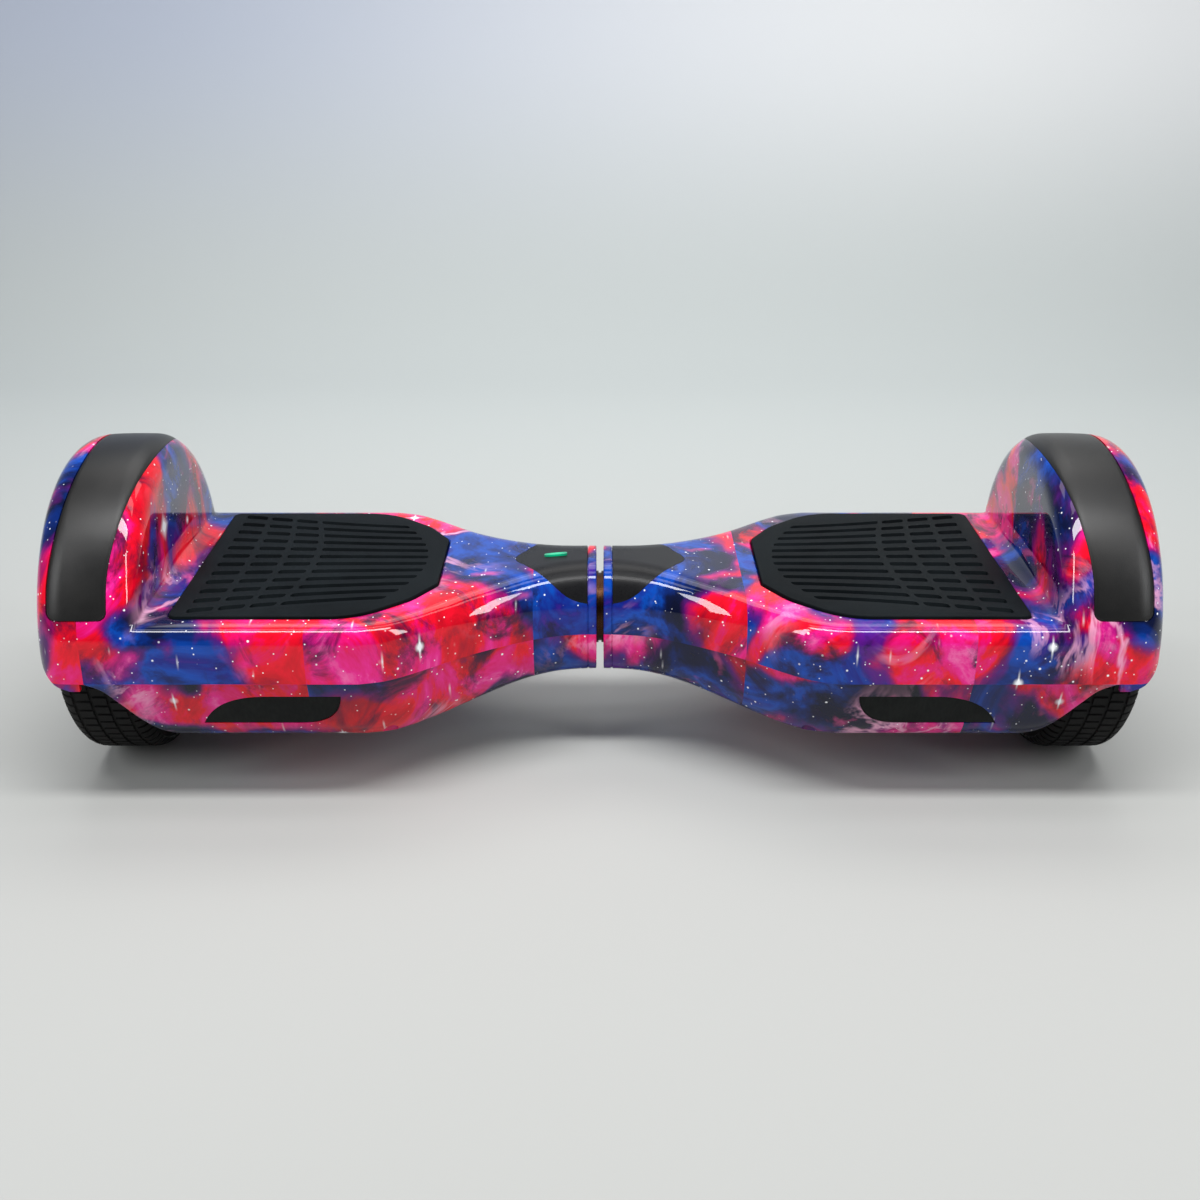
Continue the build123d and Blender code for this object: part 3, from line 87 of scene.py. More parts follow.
class Workbench:
    """Makes, combines and finishes plain meshes."""

    SHARP = math.radians(31)

    @staticmethod
    def piece(name: str, points: Iterable[Point], faces: Iterable[Sequence[int]]) -> bpy.types.Object:
        """Makes an object from points in millimetres, with its faces pointing outwards.

        Args:
            name: The object's name.
            points: Corners in millimetres.
            faces: Corner numbers of each face.

        Returns:
            The new object, linked to the scene.
        """
        mesh = bpy.data.meshes.new(name)
        mesh.from_pydata([(x * MM, y * MM, z * MM) for x, y, z in points], [], [list(f) for f in faces])
        work = bmesh.new()
        work.from_mesh(mesh)
        bmesh.ops.remove_doubles(work, verts=work.verts, dist=1e-7)
        bmesh.ops.recalc_face_normals(work, faces=work.faces)
        work.to_mesh(mesh)
        work.free()
        made = bpy.data.objects.new(name, mesh)
        bpy.context.scene.collection.objects.link(made)
        return made

    @classmethod
    def loft(cls, name: str, loops: Sequence[Sequence[Point]], round_trip: bool = False) -> bpy.types.Object:
        """Joins closed loops of equal length into a closed skin.

        Args:
            name: The object's name.
            loops: Closed loops of corners.
            round_trip: Whether the last loop joins the first one instead of both being capped.

        Returns:
            The closed object.
        """
        count, many = len(loops[0]), len(loops)
        points = [p for loop in loops for p in loop]
        faces = []
        for row in range(many if round_trip else many - 1):
            a, b = row * count, (row + 1) % many * count
            for k in range(count):
                n = (k + 1) % count
                faces.append((a + k, a + n, b + n, b + k))
        if not round_trip:
            faces.append(tuple(range(count)))
            faces.append(tuple(range((many - 1) * count, many * count)))
        return cls.piece(name, points, faces)

    @classmethod
    def prism(cls, name: str, outline: Sequence[Flat], levels: Sequence[tuple[float, float]]) -> bpy.types.Object:
        """Stacks an outline seen from above into an upright solid.

        Args:
            name: The object's name.
            outline: Closed outline in X and Y.
            levels: Height and outward growth of each ring.

        Returns:
            The closed object.
        """
        loops = [[(x, y, z) for x, y in grown(outline, grow)] for z, grow in levels]
        return cls.loft(name, loops)

    @classmethod
    def revolved(cls, name: str, profile: Sequence[Flat], axis_z: float, steps: int = 128) -> bpy.types.Object:
        """Turns a closed profile of (x, radius) about an axis along X.

        Args:
            name: The object's name.
            profile: Corners as place along X and radius.
            axis_z: Height of the axis.
            steps: Facets round the axis.

        Returns:
            The closed object.
        """
        loops = []
        for k in range(steps):
            turn = 2 * math.pi * k / steps
            loops.append([(x, r * math.cos(turn), axis_z + r * math.sin(turn)) for x, r in profile])
        return cls.loft(name, loops, round_trip=True)

    @classmethod
    def bar(cls, name: str, x_low: float, x_high: float, radius: float, y: float, z: float) -> bpy.types.Object:
        """A round bar along X, used as a cutter."""
        return cls.loft(name, [[(x, cy, cz) for cy, cz in disc(y, z, radius, 72)] for x in (x_low, x_high)])

    @classmethod
    def box(cls, name: str, low: Point, high: Point) -> bpy.types.Object:
        """A block between two corners, used as a cutter."""
        ring = [(low[0], low[1]), (high[0], low[1]), (high[0], high[1]), (low[0], high[1])]
        return cls.loft(name, [[(x, y, z) for x, y in ring] for z in (low[2], high[2])])

    @staticmethod
    def bake(made: bpy.types.Object) -> bpy.types.Object:
        """Turns what an object's modifiers give into its plain mesh.

        Args:
            made: The object.

        Returns:
            The same object, without modifiers.
        """
        graph = bpy.context.evaluated_depsgraph_get()
        result = bpy.data.meshes.new_from_object(made.evaluated_get(graph))
        made.modifiers.clear()
        made.data = result
        return made

    @classmethod
    def combine(cls, made: bpy.types.Object, tool: bpy.types.Object, way: Cut = Cut.LESS) -> bpy.types.Object:
        """Combines an object with a tool that is used up.

        Args:
            made: The object that is changed.
            tool: The closed tool, which is removed.
            way: Difference, union or intersection.

        Returns:
            The changed object.
        """
        step = made.modifiers.new("cut", "BOOLEAN")
        step.operation = way.value
        step.solver = "MANIFOLD"
        step.object = tool
        cls.bake(made)
        bpy.data.objects.remove(tool)
        return made

    @classmethod
    def smooth(cls, made: bpy.types.Object, limit: float = SHARP) -> bpy.types.Object:
        """Shades an object smooth, with its true edges kept sharp.

        Args:
            made: The object.
            limit: The angle from which an edge stays sharp, in radians.

        Returns:
            The same object.
        """
        made.data.shade_smooth()
        made.data.set_sharp_from_angle(angle=limit)
        return made


def circle_steps(count: int) -> list[float]:
    """Equal turns round a circle, in radians."""
    return [2 * math.pi * k / count for k in range(count)]


def disc(x: float, y: float, radius: float, count: int) -> list[Flat]:
    """A round outline of a number of corners about a point."""
    return [(x + radius * math.cos(a), y + radius * math.sin(a)) for a in circle_steps(count)]


def between(ends: Flat, share: float) -> float:
    """The value a share of the way from the first to the second."""
    return ends[0] + (ends[1] - ends[0]) * share


def bezier(a: Flat, b: Flat, c: Flat, steps: int) -> list[Flat]:
    """Points of a curve with one control point, both ends included.

    Args:
        a: First end.
        b: Control point.
        c: Last end.
        steps: Number of pieces.

    Returns:
        The points in order.
    """
    found = []
    for k in range(steps + 1):
        t = k / steps
        found.append(tuple((1 - t) ** 2 * p + 2 * t * (1 - t) * q + t * t * r for p, q, r in zip(a, b, c)))
    return found


def eased(xs: Sequence[float], ys: Sequence[float], x: float) -> float:
    """A smooth curve without overshoot through points in order of x.

    Args:
        xs: Places of the points.
        ys: Values of the points.
        x: The place that is asked for.

    Returns:
        The value there.
    """
    if x <= xs[0]:
        return ys[0]
    if x >= xs[-1]:
        return ys[-1]
    k = max(i for i in range(len(xs) - 1) if xs[i] <= x)
    slopes = [(ys[i + 1] - ys[i]) / (xs[i + 1] - xs[i]) for i in range(len(xs) - 1)]

    def tangent(i: int) -> float:
        """Slope at one of the points, level where the curve turns.

        Args:
            i: The point's number.

        Returns:
            The slope there.
        """
        if i == 0:
            return slopes[0]
        if i == len(xs) - 1:
            return slopes[-1]
        a, b = slopes[i - 1], slopes[i]
        return 0.0 if a * b <= 0 else 2 * a * b / (a + b)

    step = xs[k + 1] - xs[k]
    t = (x - xs[k]) / step
    ease = (1 + 2 * t) * (1 - t) ** 2, t * (1 - t) ** 2, t * t * (3 - 2 * t), t * t * (t - 1)
    return ease[0] * ys[k] + ease[1] * step * tangent(k) + ease[2] * ys[k + 1] + ease[3] * step * tangent(k + 1)


def grown(outline: Sequence[Flat], grow: float) -> list[Flat]:
    """A closed outline moved outwards along its normals by a small distance.

    Args:
        outline: Closed outline.
        grow: The distance, inwards if negative.

    Returns:
        The moved outline.
    """
    if not grow:
        return list(outline)
    count = len(outline)
    area = sum(outline[k - 1][0] * outline[k][1] - outline[k][0] * outline[k - 1][1] for k in range(count))
    way = 1 if area > 0 else -1
    moved = []
    for k in range(count):
        ax, ay = outline[k - 1]
        bx, by = outline[(k + 1) % count]
        x, y = outline[k]
        before = Vector((x - ax, y - ay)).normalized()
        after = Vector((bx - x, by - y)).normalized()
        mean = (before + after).normalized()
        reach = grow / max(0.35, math.sqrt(max(0.0, (1 + before.dot(after)) / 2)))
        moved.append((x + way * mean.y * reach, y - way * mean.x * reach))
    return moved


def filleted(corners: Sequence[Flat], radii: Sequence[float], steps: int = 10) -> list[Flat]:
    """A closed outline with each corner rounded to its own radius.

    Args:
        corners: Corners in order.
        radii: Radius at each corner.
        steps: Facets of each rounding.

    Returns:
        The rounded outline.
    """
    found: list[Flat] = []
    count = len(corners)
    for k in range(count):
        corner = Vector(corners[k])
        to_last = (Vector(corners[k - 1]) - corner).normalized()
        to_next = (Vector(corners[(k + 1) % count]) - corner).normalized()
        half = math.acos(max(-1.0, min(1.0, to_last.dot(to_next)))) / 2
        reach = radii[k] / math.tan(half)
        centre = corner + (to_last + to_next).normalized() * (radii[k] / math.sin(half))
        start, end = corner + to_last * reach - centre, corner + to_next * reach - centre
        turn = start.angle_signed(end)
        for step in range(steps + 1):
            a = -turn * step / steps
            x = start.x * math.cos(a) - start.y * math.sin(a)
            y = start.x * math.sin(a) + start.y * math.cos(a)
            found.append((centre.x + x, centre.y + y))
    return found


# ---------------------------------------------------------------- the casing's form


@dataclass(frozen=True)
class CasingForm:
    """Sizes and sections that the shells, covers, lenses and bumpers share, for the +X half."""

    axle_z: float = 83.0
    pivot_z: float = 79.0
    parting_z: float = 75.0
    belly_z: float = 33.0
    deck_z: float = 106.0
    gap: float = 2.0
    end_x: float = 292.0
    wall: float = 3.0
    deck_half: float = 93.3
    fender_r: float = 94.5
    shoulder: float = 13.0
    edge: float = 18.0
    blend: float = 9.0
    wall_x: float = 237.0
    well_x: float = 240.0
    edge_x: float = 274.0
    skirt_x: float = 269.0
    skirt_z: float = 71.0
    flare_x: float = 125.0
    waist_half: float = 30.6
    waist_top: float = 111.6
    waist_belly: float = 47.2
    waist_corner: Flat = (23.0, 30.0)
    deck_corner: Flat = (12.0, 12.0)
    step: float = 1.3
    lean: float = 15.0
    belly_corner: Flat = (23.0, 17.0)
    belly_side: Flat = (2.0, 27.0)
    # The bumper strip at its ends, its ends' height over the axle, and how far its edges move inwards over the top
    strap_x: Flat = (251.5, 282.5)
    strap_drift: Flat = (11.0, 8.0)
    strap_corner: float = 4.5
    strap_r: float = 95.0
    strap_end: float = 27.0
    # Opposite corners of the headlight window in X and Z
    lamp_low: Flat = (135.5, 47.3)
    lamp_high: Flat = (209.5, 65.6)
    # Share along the flare, then the shares of depth, top and belly there
    flare: tuple[tuple[float, float, float, float], ...] = (
        (0.0, 0.0, 0.0, 0.0), (0.08, 0.005, 0.05, 0.01), (0.16, 0.025, 0.14, 0.03),
        (0.24, 0.07, 0.27, 0.08), (0.32, 0.14, 0.43, 0.16), (0.41, 0.24, 0.62, 0.30),
        (0.50, 0.35, 0.77, 0.48), (0.60, 0.49, 0.89, 0.68), (0.70, 0.655, 0.96, 0.83),
        (0.80, 0.82, 0.99, 0.93), (0.90, 0.945, 1.0, 0.985), (1.0, 1.0, 1.0, 1.0),
    )
    belly_rise: tuple[Flat, ...] = (
        (227.0, 33.0), (235.0, 35.6), (243.0, 43.0), (251.0, 55.5), (260.0, 69.0), (269.0, 74.7),
    )

    def shares(self, x: float) -> tuple[float, float, float]:
        """Shares of depth, top and belly from the waist to the deck at one station.

        Args:
            x: Place along X.

        Returns:
            The three shares, from 0 at the waist to 1 at the deck.
        """
        along = [row[0] for row in self.flare]
        spot = min(1.0, x / self.flare_x)
        return tuple(eased(along, [row[k] for row in self.flare], spot) for k in (1, 2, 3))

    def stations(self) -> list[float]:
        """Places along the flare where a section is taken, with the lip at the waist."""
        lip = [self.gap, 2.4, 6.1, 6.4, 7.0, 7.3]
        return lip + [8.5 + (self.flare_x - 8.5) * k / 44 for k in range(45)]

    def lip(self, x: float) -> float:
        """How far the skin is drawn in at the waist: a rounded end and a fine groove behind the lip.

        Args:
            x: Place along X.

        Returns:
            The distance inwards.
        """
        if x < 2.2:
            return 0.5
        return 0.45 if 6.3 < x < 7.1 else 0.0

    def upper_corner(self, x: float, inset: float) -> tuple[Flat, Flat, Flat]:
        """The three points (y, z) that the upper section's rounding runs between.

        Args:
            x: Place along X.
            inset: How far inside the skin the section is.

        Returns:
            Lower end, control point and upper end of the rounding.
        """
        depth, top, _ = self.shares(x)
        half = between((self.waist_half, self.deck_half), depth) - inset
        high = between((self.waist_top, self.deck_z), top) - inset
        corner_y = max(between((self.waist_corner[0], self.deck_corner[0]), depth) - inset, 3)
        corner_z = max(between((self.waist_corner[1], self.deck_corner[1]), depth) - inset, 3)
        return (half, high - corner_z), (half, high), (half - corner_y, high)

    def upper_loop(self, x: float, inset: float, low_z: float) -> list[Point]:
        """The closed upper section at one station.

        Args:
            x: Place along X.
            inset: How far inside the skin the section is.
            low_z: Height of its lower edge.

        Returns:
            The loop of corners.
        """
        a, b, c = self.upper_corner(x, inset)
        right = [(a[0], low_z)] + bezier(a, b, c, 18)
        left = [(-y, z) for y, z in reversed(right)]
        middle = [(c[0] * (1 - k / 8), c[1]) for k in range(1, 16)]
        return [(x, y, z) for y, z in right + middle + left]

    def belly_low(self, x: float) -> float:
        """Height of the underside where it rises to the wheel."""
        return eased([p[0] for p in self.belly_rise], [p[1] for p in self.belly_rise], x)

    def lower_loop(self, x: float, inset: float, high_z: float) -> list[Point]:
        """The closed lower section at one station.

        Args:
            x: Place along X.
            inset: How far inside the skin the section is.
            high_z: Height of its upper edge.

        Returns:
            The loop of corners.
        """
        depth, _, belly = self.shares(x)
        half = between((self.waist_half, self.deck_half - self.step), depth) - inset
        low = max(between((self.waist_belly, self.belly_z), belly), self.belly_low(x)) + inset
        room = (self.parting_z - low) / (self.parting_z - self.belly_z)
        lean = between((0.0, self.lean), depth) * room
        side = between(self.belly_side, depth) * min(1.0, room * 1.02)
        corner = (between(self.belly_corner, depth) - inset / 2) * min(1.0, 0.25 + room)
        turn_y = half - lean * side / max(0.1, self.parting_z - low)
        turn = (turn_y, self.parting_z - side)
        right = [(half, high_z)] + bezier(turn, (half - lean, low), (half - lean - corner, low), 18)
        left = [(-y, z) for y, z in reversed(right)]
        reach = half - lean - corner
        middle = [(reach * (1 - k / 8), low) for k in range(1, 16)]
        return [(x, y, z) for y, z in right + middle + left]

    def upper_solid(self, name: str, inset: float, low_z: float, x_low: float, x_high: float) -> bpy.types.Object:
        """The upper band as a closed solid between two stations."""
        xs = [x_low] + [x for x in self.stations() if x_low < x < x_high] + [x_high]
        return Workbench.loft(name, [self.upper_loop(x, inset + self.lip(x), low_z) for x in xs])

    def lower_solid(self, name: str, inset: float, high_z: float, x_low: float, x_high: float) -> bpy.types.Object:
        """The lower band as a closed solid between two stations.

        Args:
            name: The object's name.
            inset: How far inside the skin the section is.
            high_z: Height of its upper edge.
            x_low: First station.
            x_high: Last station.

        Returns:
            The closed solid.
        """
        xs = [x_low] + [x for x in self.stations() if x_low < x < x_high]
        x = 135.0
        while x < x_high - 1:
            xs.append(x)
            x += 10.0 if x < 215 else 2.0
        xs.append(x_high)
        return Workbench.loft(name, [self.lower_loop(x, inset + self.lip(x), high_z) for x in xs])

    def deck_radius(self, x: float, turn: float) -> float:
        """Distance from the wheel's axis line to the deck's skin in one direction.

        Args:
            x: Place along X.
            turn: Direction about the wheel's axis, in radians from the front.

        Returns:
            The distance.
        """
        a, b, c = self.upper_corner(x, self.lip(x))
        cos, sin = abs(math.cos(turn)), math.sin(turn)
        start = math.atan2(a[1] - self.axle_z, a[0])
        stop = math.atan2(c[1] - self.axle_z, c[0])
        lift = math.atan2(sin, cos)
        if lift <= start:
            return a[0] / cos
        if lift >= stop:
            return (c[1] - self.axle_z) / sin
        curve = bezier(a, b, c, 60)
        lifts = [math.atan2(z - self.axle_z, y) for y, z in curve]
        return float(np.interp(lift, lifts, [math.hypot(y, z - self.axle_z) for y, z in curve]))

    def meridian(self, turn: float) -> list[Flat]:
        """The skin's line from the waist to the outer face in one direction.

        Args:
            turn: Direction about the wheel's axis, in radians from the front.

        Returns:
            Points as place along X and distance from the axis.
        """
        found = [(x, self.deck_radius(x, turn)) for x in self.stations()]
        rho = found[-1][1]
        hub_r = self.fender_r - self.shoulder
        hub_x = self.wall_x + self.shoulder
        rise = rho + self.blend - hub_r
        if rise <= 0:
            centre, finish = (self.wall_x - self.blend, rho + self.blend), 0.0
        else:
            run = math.sqrt((self.shoulder + self.blend) ** 2 - rise**2)
            centre, finish = (hub_x - run, rho + self.blend), math.atan2(-rise, run)
        for k in range(1, 13):
            found.append((between((found[len(self.stations()) - 1][0], centre[0]), k / 12), rho))
        for k in range(1, 11):
            a = between((-math.pi / 2, finish), k / 10)
            found.append((centre[0] + self.blend * math.cos(a), centre[1] + self.blend * math.sin(a)))
        straight = max(0.0, -rise)
        first = math.pi - (0.0 if rise <= 0 else -finish)
        sweep = (first - math.pi / 2) * self.shoulder
        for k in range(1, 19):
            way = (straight + sweep) * k / 18
            if way < straight:
                found.append((self.wall_x, centre[1] + way))
            else:
                a = first - (way - straight) / self.shoulder
                found.append((hub_x + self.shoulder * math.cos(a), hub_r + self.shoulder * math.sin(a)))
        for k in range(1, 9):
            found.append((between((hub_x, self.edge_x), k / 8), self.fender_r))
        for k in range(1, 11):
            a = math.pi / 2 * (1 - k / 10)
            found.append((self.edge_x + self.edge * math.cos(a), self.fender_r - self.edge + self.edge * math.sin(a)))
        flat = self.deck_half / max(1e-6, abs(math.cos(turn)))
        return [(x, min(r, flat)) for x, r in found]

    def arch(self, name: str) -> bpy.types.Object:
        """The whole upper casing as one closed solid: waist, flare, deck, blend and fender.

        Args:
            name: The object's name.

        Returns:
            The closed solid.
        """
        fine = [math.radians(a) for a in np.arange(0.0, 20.0, 0.8)]
        wide = [math.radians(a) for a in np.arange(20.0, 90.01, 2.0)]
        turns = fine + wide
        turns = turns + [math.pi - a for a in reversed(turns[:-1])]
        level = self.meridian(0.0)
        deck_rows = len(self.stations())
        rows = []
        for drop in (self.axle_z - self.skirt_z, self.axle_z - self.parting_z, 4.0):
            row = []
            for k, (x, r) in enumerate(level):
                y = r if k < deck_rows or x <= self.edge_x else math.sqrt(max(0.0, r * r - drop * drop))
                row.append((x, -min(y, self.deck_half), self.axle_z - drop))
            rows.append(row)
        for turn in turns:
            row = [(x, -r * math.cos(turn), self.axle_z + r * math.sin(turn)) for x, r in self.meridian(turn)]
            rows.append(row)
        for row in reversed(rows[:3]):
            rows.append([(x, -y, z) for x, y, z in row])
        loops = [list(column) for column in zip(*rows)]
        return Workbench.loft(name, loops)

    def lamp_outline(self, grow: float) -> list[Flat]:
        """The headlight window seen from the front: two sharp and two round corners.

        Args:
            grow: How much larger than the window it is all round.

        Returns:
            The outline in X and Z.
        """
        low = (self.lamp_low[0] - grow, self.lamp_low[1] - grow)
        high = (self.lamp_high[0] + grow, self.lamp_high[1] + grow)
        out = bezier((high[0] - 35, high[1]), (high[0] - 9, high[1]), (high[0], low[1]), 18)
        back = bezier((low[0] + 22, low[1]), (low[0] + 2, low[1]), (low[0], high[1]), 16)
        return out + back

    def lamp_solid(self, name: str, grow: float) -> bpy.types.Object:
        """The headlight window as a solid that runs forwards."""
        ring = self.lamp_outline(grow)
        return Workbench.loft(name, [[(x, y, z) for x, z in ring] for y in (-120.0, -60.0)])

    def cover_outline(self, grow: float) -> list[Flat]:
        """The centre cover seen from above: straight at the joint, a round tip on the flare.

        Args:
            grow: How much larger than the cover it is all round.

        Returns:
            The outline in X and Y.
        """
        half, tip, start = 29.4 + grow, 47.5 + grow, 7.0 - grow
        front = bezier((start + 9, -half), (start + 26, -half), (tip - 5.5, -half * 0.36), 12)
        nose = bezier((tip - 5.5, -half * 0.36), (tip, -half * 0.16), (tip, 0), 6)[1:]
        lower = [(start, -half)] + front + nose
        return lower + [(x, -y) for x, y in reversed(lower[:-1])]

    def cover_solid(self, name: str, low_z: float, grow: float) -> bpy.types.Object:
        """The centre cover's outline as an upright solid."""
        return Workbench.prism(name, self.cover_outline(grow), [(low_z, 0.0), (130.0, 0.0)])

    def mat_outline(self) -> list[Flat]:
        """The foot mat seen from above."""
        corners = [(224, -79), (224, 79), (127, 79), (101, 55), (88.5, 34), (88.5, -34), (101, -55), (127, -79)]
        return filleted(corners, (5, 5, 40, 30, 6, 6, 30, 40))

    def fender_line(self, x: float) -> float:
        """Radius of the fender's skin at a place along X.

        Args:
            x: Place along X.

        Returns:
            The radius about the wheel's axis.
        """
        into = max(0.0, self.wall_x + self.shoulder - x)
        out = max(0.0, x - self.edge_x)
        inner = self.shoulder - math.sqrt(max(0.0, self.shoulder**2 - into**2))
        outer = self.edge - math.sqrt(max(0.0, self.edge**2 - out**2))
        return self.fender_r - inner - outer

    def strap(self, name: str, grow: float, low: float, rise: Callable[[float], float]) -> bpy.types.Object:
        """A strip bent over the fender, wider over the top, with rounded corners at its two ends.

        Args:
            name: The object's name.
            grow: How much larger than the bumper it is all round.
            low: Depth of its inner face under the fender's skin.
            rise: Height over the skin for each share across the strip, from -1 to 1.

        Returns:
            The closed strip.
        """
        in_x, out_x = self.strap_x[0] - grow, self.strap_x[1] + grow
        corner, radius = self.strap_corner + grow, self.strap_r
        end = math.asin((self.strap_end - grow) / radius)
        across = [-1 + k / 12 for k in range(25)]
        across = [-1, -0.965, -0.93, -0.89] + across[2:-2] + [0.89, 0.93, 0.965, 1]
        ends = [corner * (1 - math.cos(math.pi / 2 * k / 8)) for k in range(8)]
        length = (math.pi - 2 * end) * radius
        ways = ends + [corner + (length - 2 * corner) * k / 90 for k in range(91)]
        ways += [length - e for e in reversed(ends)]
        loops = []
        for way in ways:
            near = min(way, length - way)
            cut = corner - math.sqrt(max(0.0, corner**2 - (corner - near) ** 2)) if near < corner else 0.0
            turn = end + way / radius
            lift = max(0.0, (math.sin(turn) - 0.45) / 0.55)
            low_x = in_x - self.strap_drift[0] * lift**1.6 + cut
            high_x = out_x - self.strap_drift[1] * lift**1.3 - cut
            ring = [(between((low_x, high_x), (s + 1) / 2), s) for s in across]
            skin = [(x, self.fender_line(x) + rise(s)) for x, s in ring]
            bed = [(x, self.fender_line(x) - low) for x, _ in reversed(ring)]
            loops.append([(x, -r * math.cos(turn), self.axle_z + r * math.sin(turn)) for x, r in skin + bed])
        return Workbench.loft(name, loops)


FORM = CasingForm()


def mirrored(made: bpy.types.Object, side: Side) -> bpy.types.Object:
    """Turns a +X piece into the left one where that is asked for, with its faces outwards.

    Args:
        made: The +X piece.
        side: The half that it is for.

    Returns:
        The same object.
    """
    if side is Side.LEFT:
        for vert in made.data.vertices:
            vert.co.x = -vert.co.x
        made.data.flip_normals()
    return made


# ---------------------------------------------------------------- finishes


class NodeWork:
    """A node tree that nodes are added to."""

    tree: bpy.types.NodeTree

    def add(self, kind: str, wires: dict | None = None, **settings: object) -> bpy.types.Node:
        """Adds a node with its settings, values and links.

        Args:
            kind: The node's type.
            wires: A value or a socket for each input, by name or number.
            **settings: Properties of the node.

        Returns:
            The new node.
        """
        node = self.tree.nodes.new(kind)
        for key, value in settings.items():
            setattr(node, key, value)
        for key, value in (wires or {}).items():
            self.feed(node.inputs[key], value)
        return node

    def feed(self, socket: bpy.types.NodeSocket, value: object) -> None:
        """Links an input to a socket, or gives it a value.

        Args:
            socket: The input.
            value: A socket or a plain value.
        """
        if isinstance(value, bpy.types.NodeSocket):
            self.tree.links.new(value, socket)
        else:
            socket.default_value = value

    def math(self, way: str, a: object, b: object = 0.0, clamp: bool = False) -> bpy.types.NodeSocket:
        """A sum, product or other simple rule of two values."""
        return self.add("ShaderNodeMath", {0: a, 1: b}, operation=way, use_clamp=clamp).outputs[0]


class Ink(NodeWork):
    """One procedural material on Object coordinates, built node by node."""

    def __init__(self, name: str) -> None:
        """Starts a material with a principled surface.

        Args:
            name: The material's name.
        """
        self.material = bpy.data.materials.new(name)
        self.material.use_nodes = True
        self.tree = self.material.node_tree
        self.tree.nodes.clear()
        self.surface = self.add("ShaderNodeBsdfPrincipled")
        output = self.add("ShaderNodeOutputMaterial")
        self.tree.links.new(self.surface.outputs["BSDF"], output.inputs["Surface"])
        self.coords = self.add("ShaderNodeTexCoord").outputs["Object"]

    def set(self, **values: object) -> None:
        """Sets the surface's inputs, with underscores for the spaces in their names.

        Args:
            **values: A value or a socket for each input.
        """
        for key, value in values.items():
            self.feed(self.surface.inputs[key.replace("_", " ")], value)

    def vector(self, way: str, a: object, b: object = (0.0, 0.0, 0.0)) -> bpy.types.NodeSocket:
        """A simple rule of two vectors."""
        return self.add("ShaderNodeVectorMath", {0: a, 1: b}, operation=way).outputs[0]

    def moved(self, place: Point = (0, 0, 0), scale: Point = (1, 1, 1)) -> bpy.types.NodeSocket:
        """Object coordinates moved and scaled."""
        wires = {"Vector": self.coords, "Location": place, "Scale": scale}
        return self.add("ShaderNodeMapping", wires).outputs[0]

    def noise(self, scale: float, detail: float = 4.0, rough: float = 0.55, warp: float = 0.0,
              vector: bpy.types.NodeSocket | None = None) -> bpy.types.NodeSocket:
        """Cloud noise; scale is in features for each metre.

        Args:
            scale: How many features there are to a unit.
            detail: Number of finer layers.
            rough: How strong the finer layers are.
            warp: How much the noise is bent by itself.
            vector: Where it is sampled, the object's own coordinates unless given.

        Returns:
            The noise, about 0.5 on average.
        """
        wires = {"Vector": vector or self.coords, "Scale": scale, "Detail": detail, "Roughness": rough,
                 "Distortion": warp}
        return self.add("ShaderNodeTexNoise", wires).outputs[0]

    def ramp(self, factor: bpy.types.NodeSocket, stops: Sequence[tuple[float, tuple]], way: str = "LINEAR",
             ) -> bpy.types.NodeSocket:
        """A colour for each value, from stops of place and colour.

        Args:
            factor: The value.
            stops: Place and colour of each stop.
            way: How the colours run into each other.

        Returns:
            The colour.
        """
        node = self.add("ShaderNodeValToRGB", {0: factor})
        node.color_ramp.interpolation = way
        while len(node.color_ramp.elements) < len(stops):
            node.color_ramp.elements.new(0.5)
        for element, (place, colour) in zip(node.color_ramp.elements, stops):
            element.position = place
            element.color = (*colour, 1.0) if len(colour) == 3 else colour
        return node.outputs[0]

    def fade(self, factor: bpy.types.NodeSocket, low: float, high: float, a: float = 0.0, b: float = 1.0,
             ) -> bpy.types.NodeSocket:
        """A smooth change from a to b while the factor goes from low to high."""
        wires = {0: factor, 1: low, 2: high, 3: a, 4: b}
        return self.add("ShaderNodeMapRange", wires, interpolation_type="SMOOTHSTEP").outputs[0]

    def mix(self, factor: object, a: object, b: object, way: str = "MIX") -> bpy.types.NodeSocket:
        """Two colours mixed by a factor.

        Args:
            factor: A value or a socket from 0 to 1.
            a: Colour at 0.
            b: Colour at 1.
            way: The kind of mix.

        Returns:
            The mixed colour.
        """
        node = self.add("ShaderNodeMix", {}, data_type="RGBA", blend_type=way)
        for key, value in ((0, factor), (6, a), (7, b)):
            self.feed(node.inputs[key], (*value, 1.0) if isinstance(value, tuple) else value)
        return node.outputs[2]

    def relief(self, height: bpy.types.NodeSocket, depth: float, strength: float = 1.0) -> bpy.types.NodeSocket:
        """A surface relief; depth is in metres."""
        wires = {"Height": height, "Distance": depth, "Strength": strength}
        return self.add("ShaderNodeBump", wires).outputs[0]


